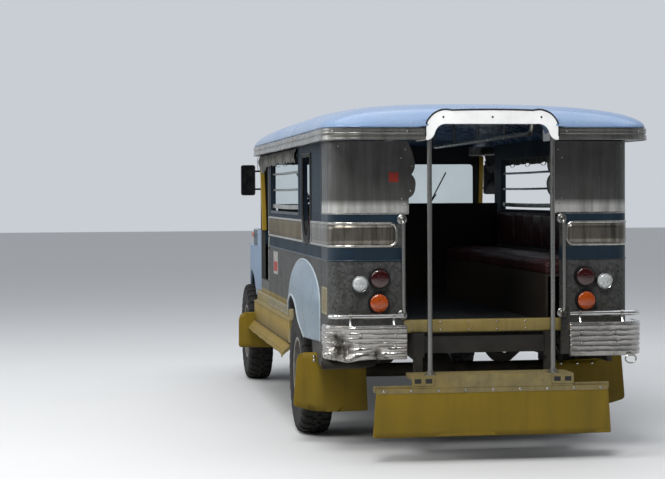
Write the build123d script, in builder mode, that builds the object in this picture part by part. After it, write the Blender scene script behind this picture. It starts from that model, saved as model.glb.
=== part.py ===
from build123d import *
import os
from math import cos, sin, radians

os.makedirs("parts", exist_ok=True)

# Jeepney, long-wheelbase passenger jeep with an open rear entrance.
# Frame, millimetres: +X is the vehicle's left, -Y is forwards, +Z is up,
# ground at Z = 0, origin on the ground under the middle of the box.

# ---- stations along the length, given as distance forward of the tail ----
Y_TAIL = 2525.0            # Y of the flat rear face of the lower body


def ahead(v):
    """Y of a station v millimetres forward of the rear face."""
    return Y_TAIL - v


V_ROOF_REAR = -250.0       # rear edge of the roof rail, an overhang
V_CORNER = 350.0           # seam between rear corner and side panel
V_REAR_AXLE = 1150.0
V_DOOR_REAR = 3100.0       # driver's doorway, open on both sides
V_WINDSHIELD = 3615.0      # rear face of the windshield frame, and the doorway front edge
V_ROOF_FRONT = 3720.0
V_FIREWALL = 3900.0        # front face of the firewall
V_FRONT_AXLE = 4400.0
V_GRILLE = 4880.0
V_NOSE = 5300.0            # front face of the front bumper

# ---- widths, as distance from the middle plane ----
X_BODY = 850.0             # outer face of the body side
WALL = 30.0                # body side, skin and inner lining together
X_RAIL = 910.0             # outer face of the roof rail
X_ENTRY = 445.0            # half width of the rear entrance
X_FRAME = 400.0            # outer face of the chassis rails
X_FENDER = 850.0           # outer face of the front fenders
X_HOOD_REAR, X_HOOD_FRONT = 500.0, 430.0

# ---- heights ----
Z_FRAME_LOW, Z_FRAME_TOP = 560.0, 690.0
Z_FLOOR = 730.0            # top of the floor deck
Z_BODY_LOW = 480.0
Z_CORNER_LOW = 560.0       # the rear corners end higher
Z_SILL = 1345.0            # bottom of the windows
Z_HEAD = 1700.0            # top of the windows
Z_RAIL_LOW, Z_RAIL_TOP = 1745.0, 1811.0
Z_CROWN = 1975.0
Z_DOOR_SILL = 830.0
Z_FENDER_TOP = 1060.0
Z_COWL_TOP = 1190.0
CORNER_R = 120.0           # lower body corner, in plan
ROOF_CORNER_R = 190.0      # roof corner, in plan

# ---- wheels and steering ----
TYRE_R, TYRE_W = 375.0, 190.0
RIM_R = 203.0
X_WHEEL = 806.0            # middle of the tyre
X_KINGPIN = 666.0
AXLE_Z = TYRE_R
SPINDLE_R = 24.0
BEARING_GAP = 0.05         # running clearance on the radius
KINGPIN_R = 13.0
ARM_BACK = 160.0           # steering arm, behind the kingpin
ARM_X = X_KINGPIN          # parallel arms
TIE_ROD_Z = 300.0

SIDES = (("left", 1), ("right", -1))
#        name           side  station
WHEELS = (
    ("front_left", 1, V_FRONT_AXLE),
    ("front_right", -1, V_FRONT_AXLE),
    ("rear_left", 1, V_REAR_AXLE),
    ("rear_right", -1, V_REAR_AXLE),
)


def at_x(x):
    """Vertical plane across X: sketch x is +Y, sketch y is +Z."""
    return Plane.YZ.offset(x)


def at_y(y):
    """Vertical plane across Y: sketch x is +X, sketch y is +Z, extrudes forwards."""
    return Plane.XZ.offset(-y)


def at_z(z):
    """Level plane: sketch x is +X, sketch y is +Y."""
    return Plane.XY.offset(z)


def slab(x, y, z, mode=Mode.ADD):
    """A block between two limits on each axis."""
    with Locations(((x[0] + x[1]) / 2, (y[0] + y[1]) / 2, (z[0] + z[1]) / 2)):
        Box(abs(x[1] - x[0]), abs(y[1] - y[0]), abs(z[1] - z[0]), mode=mode)


def rod(start, end, r, mode=Mode.ADD):
    """A round bar from one point to another."""
    run = Vector(*end) - Vector(*start)
    with Locations(Plane(origin=start, z_dir=run)):
        Cylinder(r, run.length, align=(Align.CENTER, Align.CENTER, Align.MIN), mode=mode)


def ball(centre, r, mode=Mode.ADD):
    with Locations(centre):
        Sphere(r, mode=mode)


def save(builder, label):
    builder.part.label = label
    export_step(builder.part, f"parts/{label}.step")


# =========================== running gear ===========================

# chassis ladder: the two rails
FRAME_RAIL_W = 60.0
FRAME_REAR, FRAME_FRONT = -60.0, 5180.0
with BuildPart() as chassis_rails:
    for _, s in SIDES:
        slab((s * (X_FRAME - FRAME_RAIL_W), s * X_FRAME),
             (ahead(FRAME_REAR), ahead(FRAME_FRONT)), (Z_FRAME_LOW, Z_FRAME_TOP))
save(chassis_rails, "chassis_rails")

# cross members between the rails, outriggers that carry the body sides, and
# drop brackets for the rear step
CROSS_MEMBERS = (0.0, 620.0, 1700.0, 2500.0, 3300.0, 4820.0, 5120.0)   # stations
OUTRIGGERS = (200.0, 2100.0, 3700.0)
with BuildPart() as cross_members:
    for v in CROSS_MEMBERS:
        slab((-X_FRAME + FRAME_RAIL_W, X_FRAME - FRAME_RAIL_W), (ahead(v - 35), ahead(v + 35)),
             (Z_FRAME_LOW + 20, Z_FRAME_TOP - 20))
    for _, s in SIDES:
        for v in OUTRIGGERS:
            slab((s * X_FRAME, s * (X_BODY - WALL)), (ahead(v - 25), ahead(v + 25)),
                 (Z_FRAME_TOP - 60, Z_FRAME_TOP))
        slab((s * 350, s * 390), (ahead(FRAME_REAR), ahead(20)), (440, Z_FRAME_LOW))
save(cross_members, "cross_members")

# leaf springs, arched packs under the rails, one pack at each wheel
SPRING_X = 370.0
SPRING_HALF = 480.0
AXLE_TUBE_R = 42.0
with BuildPart() as leaf_springs:
    for v in (V_FRONT_AXLE, V_REAR_AXLE):
        for _, s in SIDES:
            y0 = ahead(v)
            with BuildSketch(at_x(s * SPRING_X - 28)):
                with BuildLine():
                    top = AXLE_Z + AXLE_TUBE_R + 62
                    a = ThreePointArc((y0 - SPRING_HALF, 540), (y0, top - 10), (y0 + SPRING_HALF, 540))
                    l1 = Line((y0 + SPRING_HALF, 540), (y0 + SPRING_HALF, 528))
                    b1 = Line((y0 + SPRING_HALF, 528), (y0 + 200, AXLE_Z + AXLE_TUBE_R + 22))
                    b2 = Line((y0 + 200, AXLE_Z + AXLE_TUBE_R + 22), (y0 + 60, AXLE_Z + AXLE_TUBE_R))
                    b3 = Line((y0 + 60, AXLE_Z + AXLE_TUBE_R), (y0 - 60, AXLE_Z + AXLE_TUBE_R))
                    b4 = Line((y0 - 60, AXLE_Z + AXLE_TUBE_R), (y0 - 200, AXLE_Z + AXLE_TUBE_R + 22))
                    b5 = Line((y0 - 200, AXLE_Z + AXLE_TUBE_R + 22), (y0 - SPRING_HALF, 528))
                    l2 = Line((y0 - SPRING_HALF, 528), (y0 - SPRING_HALF, 540))
                make_face()
            extrude(amount=56)
            for e in (-1, 1):
                slab((s * SPRING_X - 28, s * SPRING_X + 28),
                     (y0 + e * (SPRING_HALF - 40), y0 + e * SPRING_HALF), (530, Z_FRAME_LOW))
save(leaf_springs, "leaf_springs")

# front beam with a fork at each end that holds the kingpin
LUG_GAP = 55.0             # half the height between the fork's lugs
with BuildPart() as front_axle_beam:
    y0 = ahead(V_FRONT_AXLE)
    rod((-X_KINGPIN + 70, y0, AXLE_Z), (X_KINGPIN - 70, y0, AXLE_Z), AXLE_TUBE_R)
    for _, s in SIDES:
        slab((s * (X_KINGPIN - 84), s * (X_KINGPIN - 58)), (y0 - 24, y0 + 24),
             (AXLE_Z - LUG_GAP - 24, AXLE_Z + LUG_GAP + 24))
        for e in (-1, 1):
            slab((s * (X_KINGPIN - 84), s * (X_KINGPIN + 22)), (y0 - 24, y0 + 24),
                 (AXLE_Z + e * (LUG_GAP + 1), AXLE_Z + e * (LUG_GAP + 24)))
        rod((s * X_KINGPIN, y0, AXLE_Z - LUG_GAP - 30), (s * X_KINGPIN, y0, AXLE_Z + LUG_GAP + 30), KINGPIN_R)
save(front_axle_beam, "front_axle_beam")

# knuckles: boss on the kingpin, spindle outwards, steering arm back and in
knuckles = {}
for name, s in SIDES:
    y0 = ahead(V_FRONT_AXLE)
    with BuildPart() as knuckle:
        rod((s * X_KINGPIN, y0, AXLE_Z - LUG_GAP), (s * X_KINGPIN, y0, AXLE_Z + LUG_GAP), 28)
        rod((s * (X_KINGPIN + 20), y0, AXLE_Z), (s * (X_WHEEL + 62), y0, AXLE_Z), SPINDLE_R)
        rod((s * (X_KINGPIN + 20), y0, AXLE_Z), (s * (X_KINGPIN + 46), y0, AXLE_Z), 40)
        # arm: from the boss back to the tie rod ball
        rod((s * X_KINGPIN, y0, AXLE_Z - 30), (s * ARM_X, y0 + ARM_BACK, TIE_ROD_Z + 34), 11)
        rod((s * ARM_X, y0 + ARM_BACK, TIE_ROD_Z + 19), (s * ARM_X, y0 + ARM_BACK, TIE_ROD_Z + 46), 17)
        # pin that hangs into the tie rod's eye
        rod((s * ARM_X, y0 + ARM_BACK, TIE_ROD_Z - 14), (s * ARM_X, y0 + ARM_BACK, TIE_ROD_Z + 30), 8)
        with Locations((s * X_KINGPIN, y0, AXLE_Z)):
            Cylinder(KINGPIN_R + BEARING_GAP, 4 * LUG_GAP, mode=Mode.SUBTRACT)
    save(knuckle, f"knuckle_{name}")

# tie rod across the back of the beam, an eye at each end
with BuildPart() as tie_rod:
    y0 = ahead(V_FRONT_AXLE) + ARM_BACK
    rod((-ARM_X + 15, y0, TIE_ROD_Z), (ARM_X - 15, y0, TIE_ROD_Z), 11)
    for _, s in SIDES:
        rod((s * ARM_X, y0, TIE_ROD_Z - 14), (s * ARM_X, y0, TIE_ROD_Z + 14), 21)
        rod((s * ARM_X, y0, TIE_ROD_Z - 30), (s * ARM_X, y0, TIE_ROD_Z + 30),
            8 + BEARING_GAP, mode=Mode.SUBTRACT)
save(tie_rod, "tie_rod")

# rear axle: housing tube, differential, spindle for each hub
with BuildPart() as rear_axle:
    y0 = ahead(V_REAR_AXLE)
    rod((120 - X_WHEEL, y0, AXLE_Z), (X_WHEEL - 120, y0, AXLE_Z), AXLE_TUBE_R)
    with Locations((40, y0, AXLE_Z)):
        Sphere(125)
    rod((40, y0, AXLE_Z), (40, ahead(V_REAR_AXLE + 190), AXLE_Z + 10), 55)
    for _, s in SIDES:
        rod((s * (X_WHEEL - 140), y0, AXLE_Z), (s * (X_WHEEL + 62), y0, AXLE_Z), SPINDLE_R)
        rod((s * (X_WHEEL - 125), y0, AXLE_Z), (s * (X_WHEEL - 94), y0, AXLE_Z), 60)
save(rear_axle, "rear_axle")

# road wheels: tyre and pressed steel rim with its brake drum
TREAD_R = 30.0
for name, s, v in WHEELS:
    y0 = ahead(v)
    hub_plane = Plane(origin=(s * X_WHEEL, y0, AXLE_Z), x_dir=(0, 1, 0), z_dir=(s, 0, 0))
    with BuildPart() as tyre:
        with BuildSketch(Plane(origin=(s * X_WHEEL, y0, AXLE_Z), x_dir=(s, 0, 0), z_dir=(0, -s, 0))) as tread:
            with Locations((0, (TYRE_R + RIM_R) / 2)):
                RectangleRounded(TYRE_W, TYRE_R - RIM_R, 45)
            with Locations((0, RIM_R + 12)):
                Rectangle(TYRE_W - 40, 24)
        revolve(axis=Axis((s * X_WHEEL, y0, AXLE_Z), (1, 0, 0)), revolution_arc=360)
    save(tyre, f"tyre_{name}")
    with BuildPart() as rim:
        with BuildSketch(hub_plane.offset(-80)):
            Circle(RIM_R)
            Circle(RIM_R - 12, mode=Mode.SUBTRACT)
        extrude(amount=160)
        with BuildSketch(hub_plane.offset(14)):
            Circle(RIM_R - 6)
        extrude(amount=12)
        with BuildSketch(hub_plane.offset(-78)):
            Circle(140)
        extrude(amount=92)
        with BuildSketch(hub_plane.offset(20)):
            Circle(52)
        extrude(amount=52)
        # hub bore that runs on the spindle, closed at the cap
        with BuildSketch(hub_plane.offset(-90)):
            Circle(SPINDLE_R + BEARING_GAP)
        extrude(amount=90 + 64, mode=Mode.SUBTRACT)
        # hollow back of the drum, which clears the knuckle
        with BuildSketch(hub_plane.offset(-90)):
            Circle(120)
            Circle(62, mode=Mode.SUBTRACT)
        extrude(amount=70, mode=Mode.SUBTRACT)
        # hand holes in the disc
        with BuildSketch(hub_plane.offset(0)):
            with PolarLocations(166, 8):
                Circle(17)
        extrude(amount=60, mode=Mode.SUBTRACT)
    save(rim, f"rim_{name}")

# propshaft from the gearbox back to the differential
with BuildPart() as propshaft:
    rod((40, ahead(V_REAR_AXLE + 190), AXLE_Z + 10), (40, ahead(3150), 470), 34)
    ball((40, ahead(V_REAR_AXLE + 215), AXLE_Z + 11), 46)
    with BuildSketch(at_y(ahead(V_REAR_AXLE + 196))):
        with Locations((40, AXLE_Z + 10)):
            Rectangle(200, 200)
    extrude(amount=-120, mode=Mode.SUBTRACT)
    with BuildSketch(at_y(ahead(3120))):
        with Locations((40, 470)):
            Rectangle(200, 200)
    extrude(amount=120, mode=Mode.SUBTRACT)
save(propshaft, "propshaft")

# engine with its gearbox, one plain block each
with BuildPart() as engine_block:
    slab((-230, 230), (ahead(V_FIREWALL + 40), ahead(4680)), (500, 1010))
    slab((-130, 130), (ahead(3600), ahead(V_FIREWALL + 60)), (500, 670))
    slab((-60, 110), (ahead(3120), ahead(3620)), (410, 550))
save(engine_block, "engine_block")

# radiator core behind the grille
with BuildPart() as radiator:
    slab((-300, 300), (ahead(4790), ahead(4850)), (Z_FRAME_TOP + 2, 1060))
    slab((-270, 270), (ahead(4770), ahead(4800)), (1000, 1050))
save(radiator, "radiator")

# exhaust: along the left rail, over the rear axle, out at the left under the bumper
EXHAUST_R = 25.0
with BuildPart() as exhaust_pipe:
    with BuildLine() as route:
        FilletPolyline(
            (262, ahead(4050), 560), (285, ahead(3900), 520), (292, ahead(3500), 500), (292, ahead(2000), 500),
            (480, ahead(1780), 500), (600, ahead(1400), 560), (600, ahead(900), 600), (600, ahead(400), 568),
            (600, ahead(90), 528), (700, ahead(-40), 528), (905, ahead(-40), 528), radius=60)
    with BuildSketch(Plane(origin=route.line @ 0, z_dir=route.line % 0)):
        Circle(EXHAUST_R)
    sweep()
    rod((292, ahead(2900), 450), (292, ahead(2250), 450), 78)
    with BuildSketch(at_x(905.5)):
        with Locations((ahead(-40), 528)):
            Circle(EXHAUST_R - 4)
    extrude(amount=-120, mode=Mode.SUBTRACT)
save(exhaust_pipe, "exhaust_pipe")

# fuel tank outside the right rail
with BuildPart() as fuel_tank:
    slab((-X_FRAME - 4, -X_BODY + 120), (ahead(2350), ahead(3000)), (440, 680))
    fillet(fuel_tank.edges().filter_by(Axis.Y), 40)
save(fuel_tank, "fuel_tank")

# =============================== body ===============================

# floor deck with a box over each rear wheel and the sill of the entrance
FLOOR_T = 40.0
ARCH_V0, ARCH_V1 = 700.0, 1600.0
ARCH_TOP = 900.0
with BuildPart() as floor_deck:
    slab((-X_BODY + WALL, X_BODY - WALL), (ahead(CORNER_R), ahead(V_FIREWALL)), (Z_FLOOR - FLOOR_T, Z_FLOOR))
    slab((-X_BODY + CORNER_R, X_BODY - CORNER_R), (ahead(WALL), ahead(CORNER_R + 5)), (Z_FLOOR - FLOOR_T, Z_FLOOR))
    slab((-X_ENTRY, X_ENTRY), (ahead(-6), ahead(40)), (Z_FRAME_TOP, Z_FLOOR + 30))
    slab((-X_ENTRY, X_ENTRY), (ahead(40), ahead(60)), (Z_FLOOR, Z_FLOOR + 40), mode=Mode.SUBTRACT)
    for _, s in SIDES:
        slab((s * 655, s * (X_BODY - WALL)), (ahead(ARCH_V0), ahead(ARCH_V1)), (Z_FLOOR - FLOOR_T, ARCH_TOP))
        slab((s * 671, s * (X_BODY - WALL)), (ahead(ARCH_V0 + 12), ahead(ARCH_V1 - 12)),
             (Z_FLOOR - FLOOR_T, ARCH_TOP - 14), mode=Mode.SUBTRACT)
save(floor_deck, "floor_deck")

# body sides behind the doorway: wheel arch, narrow window with a round foot,
# long open window
U_WINDOW = (790.0, 1170.0)          # rear and front edge
U_FOOT = 1185.0                     # lowest point of its round foot
MAIN_WINDOW = (1350.0, 2900.0)
ARCH_R = 430.0
for name, s in SIDES:
    with BuildPart() as side_panel:
        x0 = X_BODY - WALL if s > 0 else -X_BODY
        with BuildSketch(at_x(x0)):
            with Locations(((ahead(V_CORNER) + ahead(V_DOOR_REAR)) / 2, (Z_BODY_LOW + Z_RAIL_TOP) / 2)):
                Rectangle(V_DOOR_REAR - V_CORNER, Z_RAIL_TOP - Z_BODY_LOW)
            with Locations((ahead(V_REAR_AXLE), AXLE_Z)):
                Circle(ARCH_R, mode=Mode.SUBTRACT)
            r = (U_WINDOW[1] - U_WINDOW[0]) / 2
            mid = ahead(sum(U_WINDOW) / 2)
            with Locations((mid, U_FOOT + r)):
                Circle(r, mode=Mode.SUBTRACT)
            with Locations((mid, (U_FOOT + r + Z_HEAD) / 2)):
                Rectangle(2 * r, Z_HEAD - U_FOOT - r, mode=Mode.SUBTRACT)
            with Locations((ahead(sum(MAIN_WINDOW) / 2), (Z_SILL + Z_HEAD) / 2)):
                RectangleRounded(MAIN_WINDOW[1] - MAIN_WINDOW[0], Z_HEAD - Z_SILL, 25, mode=Mode.SUBTRACT)
        extrude(amount=WALL)
    save(side_panel, f"side_panel_{name}")

# rear corners: rounded sheet from the side round to the entrance, with a
# scalloped edge above the belt
with BuildPart() as rear_corners:
    for _, s in SIDES:
        for z0, z1, x_edge in ((Z_CORNER_LOW, Z_SILL, X_ENTRY), (Z_SILL, Z_RAIL_LOW, 372.0)):
            with BuildSketch(at_z(z0)):
                with BuildLine():
                    Line((s * X_BODY, ahead(V_CORNER)), (s * X_BODY, ahead(CORNER_R)))
                    c = X_BODY - CORNER_R
                    ThreePointArc((s * X_BODY, ahead(CORNER_R)),
                                  (s * (c + CORNER_R * sin(radians(45))), ahead(CORNER_R - CORNER_R * cos(radians(45)))),
                                  (s * c, ahead(0)))
                    Line((s * c, ahead(0)), (s * x_edge, ahead(0)))
                    Line((s * x_edge, ahead(0)), (s * x_edge, ahead(WALL)))
                    Line((s * x_edge, ahead(WALL)), (s * c, ahead(WALL)))
                    ri = CORNER_R - WALL
                    ThreePointArc((s * c, ahead(WALL)),
                                  (s * (c + ri * sin(radians(45))), ahead(CORNER_R - ri * cos(radians(45)))),
                                  (s * (X_BODY - WALL), ahead(CORNER_R)))
                    Line((s * (X_BODY - WALL), ahead(CORNER_R)), (s * (X_BODY - WALL), ahead(V_CORNER)))
                    Line((s * (X_BODY - WALL), ahead(V_CORNER)), (s * X_BODY, ahead(V_CORNER)))
                make_face()
            extrude(amount=z1 - z0)
        # scallops cut into the edge
        with BuildSketch(at_y(ahead(-10))):
            with BuildLine():
                Line((s * 360, Z_SILL - 1), (s * 413, Z_SILL - 1))
                Line((s * 413, Z_SILL - 1), (s * 413, 1432))
                ThreePointArc((s * 413, 1432), (s * 390, 1450), (s * 376, 1492))
                ThreePointArc((s * 376, 1492), (s * 378, 1535), (s * 397, 1563))
                ThreePointArc((s * 397, 1563), (s * 379, 1600), (s * 385, 1650))
                ThreePointArc((s * 385, 1650), (s * 399, 1702), (s * 420, Z_RAIL_LOW + 1))
                Line((s * 420, Z_RAIL_LOW + 1), (s * 360, Z_RAIL_LOW + 1))
                Line((s * 360, Z_RAIL_LOW + 1), (s * 360, Z_SILL - 1))
            make_face()
        extrude(amount=60, mode=Mode.SUBTRACT)
save(rear_corners, "rear_corners")

# cab sides: low under the doorway, up to the cowl ahead of it
with BuildPart() as cab_sides:
    for _, s in SIDES:
        xs = (s * (X_BODY - WALL), s * X_BODY)
        slab(xs, (ahead(V_DOOR_REAR), ahead(V_FIREWALL)), (Z_BODY_LOW, Z_DOOR_SILL))
        slab(xs, (ahead(V_WINDSHIELD), ahead(V_FIREWALL)), (Z_DOOR_SILL - 5, Z_COWL_TOP))
save(cab_sides, "cab_sides")

# roof rail: a band right round the roof, open at the rear arch, with the
# soffit that closes the overhang over the rear corners
X_ARCH = 366.0
RAIL_T = X_RAIL - X_BODY
with BuildPart() as drip_rail:
    length = V_ROOF_FRONT - V_ROOF_REAR
    mid = ahead((V_ROOF_FRONT + V_ROOF_REAR) / 2)
    with BuildSketch(at_z(Z_RAIL_LOW)):
        with Locations((0, mid)):
            RectangleRounded(2 * X_RAIL, length, ROOF_CORNER_R)
        with Locations((0, mid)):
            RectangleRounded(2 * X_BODY, length - 2 * RAIL_T, ROOF_CORNER_R - RAIL_T, mode=Mode.SUBTRACT)
    extrude(amount=Z_RAIL_TOP - Z_RAIL_LOW)
    with BuildSketch(at_z(Z_RAIL_LOW)):
        with Locations((0, (ahead(V_ROOF_REAR + 30) + ahead(V_CORNER)) / 2)):
            RectangleRounded(2 * X_BODY + 30, V_CORNER - V_ROOF_REAR - 30, 120)
        with Locations((0, (ahead(WALL) + ahead(V_CORNER + 140)) / 2)):
            Rectangle(2 * (X_BODY - WALL), V_CORNER + 140 - WALL, mode=Mode.SUBTRACT)
        with Locations((0, ahead(V_CORNER + 70))):
            Rectangle(2 * X_RAIL, 140, mode=Mode.SUBTRACT)
    extrude(amount=12)
    slab((-X_ARCH, X_ARCH), (ahead(V_ROOF_REAR - 5), ahead(WALL + 10)), (Z_RAIL_LOW - 5, Z_RAIL_TOP + 5), mode=Mode.SUBTRACT)
save(drip_rail, "drip_rail")

# raised arch over the entrance: bright face panel and the lining behind it
ARCH_OUT_TOP, ARCH_IN_TOP = 1906.0, 1832.0
ARCH_SHOULDER = (225.0, 1902.0)
ARCH_TURN_Z = 1816.0


def arch_over():
    # outer line of the arch, from the left leg over the top to the right leg
    x, z = ARCH_SHOULDER
    ThreePointArc((-X_ARCH, ARCH_TURN_Z), (-335, 1873), (-x, z))
    ThreePointArc((-x, z), (0, ARCH_OUT_TOP), (x, z))
    ThreePointArc((x, z), (335, 1873), (X_ARCH, ARCH_TURN_Z))



ARCH_FACE_T = 16.0
with BuildPart() as rear_arch:
    with BuildSketch(at_y(ahead(V_ROOF_REAR))) as face:
        with BuildLine():
            Line((-X_ARCH, Z_RAIL_LOW), (-X_ARCH, ARCH_TURN_Z))
            arch_over()
            Polyline((X_ARCH, ARCH_TURN_Z), (X_ARCH, Z_RAIL_LOW), (358, Z_RAIL_LOW))
            # the inner line turns outwards at its foot, into the rail
            ThreePointArc((358, Z_RAIL_LOW), (334, 1757), (320, 1780))
            ThreePointArc((320, 1780), (300, 1815), (245, ARCH_IN_TOP))
            Line((245, ARCH_IN_TOP), (-245, ARCH_IN_TOP))
            ThreePointArc((-245, ARCH_IN_TOP), (-300, 1815), (-320, 1780))
            ThreePointArc((-320, 1780), (-334, 1757), (-358, Z_RAIL_LOW))
            Line((-358, Z_RAIL_LOW), (-X_ARCH, Z_RAIL_LOW))
        make_face()
    extrude(amount=ARCH_FACE_T)
    with BuildSketch(at_y(ahead(V_ROOF_REAR + ARCH_FACE_T))):
        with BuildLine():
            Polyline((-X_ARCH, Z_RAIL_LOW), (-X_ARCH, Z_RAIL_TOP - 2))
            Line((-X_ARCH, Z_RAIL_TOP - 2), (-X_ARCH + 12, Z_RAIL_TOP - 2))
            Line((-X_ARCH + 12, Z_RAIL_TOP - 2), (-X_ARCH + 12, Z_RAIL_LOW))
            Line((-X_ARCH + 12, Z_RAIL_LOW), (-X_ARCH, Z_RAIL_LOW))
        make_face()
    extrude(amount=250 + WALL - ARCH_FACE_T)
    with BuildSketch(at_y(ahead(V_ROOF_REAR + ARCH_FACE_T))):
        with Locations((X_ARCH - 6, (Z_RAIL_LOW + Z_RAIL_TOP - 2) / 2)):
            Rectangle(12, Z_RAIL_TOP - 2 - Z_RAIL_LOW)
    extrude(amount=250 + WALL - ARCH_FACE_T)
save(rear_arch, "rear_arch")

# domed roof, sections across the length
ROOF_T = 24.0
#    station  half width  shoulder Z  crown Z
ROOF = (
    (-246.0, 745.0, 1819.0, 1826.0),
    (-222.0, 812.0, 1842.0, 1858.0),
    (-160.0, 868.0, 1874.0, 1899.0),
    (-40.0, 900.0, 1902.0, 1929.0),
    (220.0, 902.0, 1920.0, 1951.0),
    (900.0, 902.0, 1928.0, Z_CROWN),
    (2500.0, 902.0, 1928.0, Z_CROWN),
    (3300.0, 902.0, 1914.0, 1952.0),
    (3600.0, 892.0, 1880.0, 1906.0),
    (3690.0, 868.0, 1844.0, 1860.0),
    (3714.0, 838.0, 1819.0, 1826.0),
)
with BuildPart() as roof_shell:
    for v, w, zs, zc in ROOF:
        with BuildSketch(at_y(ahead(v))):
            with BuildLine():
                inset = 150.0
                rise = zs - Z_RAIL_TOP
                Line((-w, Z_RAIL_TOP), (w, Z_RAIL_TOP))
                ThreePointArc((w, Z_RAIL_TOP), (w - inset * 0.34, Z_RAIL_TOP + rise * 0.66), (w - inset, zs))
                ThreePointArc((w - inset, zs), (0, zc), (-w + inset, zs))
                ThreePointArc((-w + inset, zs), (-w + inset * 0.34, Z_RAIL_TOP + rise * 0.66), (-w, Z_RAIL_TOP))
            make_face()
    loft(ruled=True)
    # raised part over the rear arch
    with BuildSketch(at_y(ahead(V_ROOF_REAR + 4))):
        with BuildLine():
            Line((-X_ARCH, Z_RAIL_TOP), (-X_ARCH, ARCH_TURN_Z))
            arch_over()
            Polyline((X_ARCH, ARCH_TURN_Z), (X_ARCH, Z_RAIL_TOP), (-X_ARCH, Z_RAIL_TOP))
        make_face()
    extrude(amount=250)

with BuildPart() as roof_void:
    for v, w, zs, zc in ROOF:
        if -170 < v < 3650:
            v_in = v + 10 if v < 1500 else v - 14
            w_in = min(w - 30, X_BODY - WALL)
            with BuildSketch(at_y(ahead(v_in))):
                with BuildLine():
                    inset = 110.0
                    zs_in, zc_in = zs - ROOF_T, zc - ROOF_T
                    rise = zs_in - Z_RAIL_TOP
                    Line((-w_in, Z_RAIL_TOP), (w_in, Z_RAIL_TOP))
                    ThreePointArc((w_in, Z_RAIL_TOP), (w_in - inset * 0.34, Z_RAIL_TOP + rise * 0.66), (w_in - inset, zs_in))
                    ThreePointArc((w_in - inset, zs_in), (0, zc_in), (-w_in + inset, zs_in))
                    ThreePointArc((-w_in + inset, zs_in), (-w_in + inset * 0.34, Z_RAIL_TOP + rise * 0.66), (-w_in, Z_RAIL_TOP))
                make_face()
    loft(ruled=True)
with BuildPart() as roof_skin:
    add(roof_shell.part)
    add(roof_void.part, mode=Mode.SUBTRACT)
    # the way in under the arch
    with BuildSketch(at_y(ahead(V_ROOF_REAR - 10))):
        with BuildLine():
            Line((-322, Z_RAIL_TOP - 5), (-322, Z_RAIL_TOP))
            ThreePointArc((-322, Z_RAIL_TOP), (-294, ARCH_IN_TOP - 6), (-245, ARCH_IN_TOP))
            Line((-245, ARCH_IN_TOP), (245, ARCH_IN_TOP))
            ThreePointArc((245, ARCH_IN_TOP), (294, ARCH_IN_TOP - 6), (322, Z_RAIL_TOP))
            Polyline((322, Z_RAIL_TOP), (322, Z_RAIL_TOP - 5), (-322, Z_RAIL_TOP - 5))
        make_face()
    extrude(amount=300, mode=Mode.SUBTRACT)
    # seat for the bright face panel
    slab((-X_ARCH, X_ARCH), (ahead(V_ROOF_REAR - 5), ahead(V_ROOF_REAR + ARCH_FACE_T)),
         (Z_RAIL_TOP - 5, ARCH_OUT_TOP + 30), mode=Mode.SUBTRACT)
save(roof_skin, "roof_shell")

# windshield frame, two panes with a post between them
PANE_X = (20.0, 790.0)
PANE_Z = (1240.0, 1690.0)
FRAME_T = 40.0
with BuildPart() as windshield_frame:
    with BuildSketch(at_y(ahead(V_WINDSHIELD))):
        with Locations((0, (Z_COWL_TOP + Z_RAIL_LOW) / 2)):
            Rectangle(2 * X_BODY, Z_RAIL_LOW - Z_COWL_TOP)
        with Locations((0, (Z_RAIL_LOW + Z_RAIL_TOP) / 2)):
            Rectangle(2 * X_BODY - 210, Z_RAIL_TOP - Z_RAIL_LOW)
        for _, s in SIDES:
            with Locations((s * sum(PANE_X) / 2, sum(PANE_Z) / 2)):
                RectangleRounded(PANE_X[1] - PANE_X[0], PANE_Z[1] - PANE_Z[0], 35, mode=Mode.SUBTRACT)
    extrude(amount=FRAME_T)
save(windshield_frame, "windshield_frame")

with BuildPart() as windshield_glass:
    with BuildSketch(at_y(ahead(V_WINDSHIELD + 17))):
        for _, s in SIDES:
            with Locations((s * sum(PANE_X) / 2, sum(PANE_Z) / 2)):
                RectangleRounded(PANE_X[1] - PANE_X[0], PANE_Z[1] - PANE_Z[0], 35)
    extrude(amount=6)
save(windshield_glass, "windshield_glass")

# cowl: top, dash panel and firewall
STEER_X = 380.0
DASH_SLOT_TOP = 1165.0
with BuildPart() as cowl:
    x = X_BODY - WALL
    slab((-x, x), (ahead(V_WINDSHIELD), ahead(V_FIREWALL)), (Z_COWL_TOP - 15, Z_COWL_TOP))
    slab((-x, x), (ahead(V_FIREWALL - 15), ahead(V_FIREWALL)), (Z_FLOOR, Z_COWL_TOP))
    slab((-x, x), (ahead(V_WINDSHIELD), ahead(V_WINDSHIELD + 15)), (1085, Z_COWL_TOP))
    # slot for the steering column
    slab((STEER_X - 40, STEER_X + 40), (ahead(V_WINDSHIELD - 5), ahead(V_WINDSHIELD + 20)), (1080, DASH_SLOT_TOP), mode=Mode.SUBTRACT)
    # gearbox hump through the floor
    slab((-150, 150), (ahead(3640), ahead(V_FIREWALL)), (Z_FLOOR, 860))
    # raised vent on the cowl top
    slab((-220, 220), (ahead(3720), ahead(3860)), (Z_COWL_TOP - 5, Z_COWL_TOP + 14))
save(cowl, "cowl")

# hood, hinged along its rear edge
HOOD_V = (V_FIREWALL + 8.0, 4862.0)
HOOD_LOW = Z_FENDER_TOP + 7.0
HOOD_T = 12.0
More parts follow.
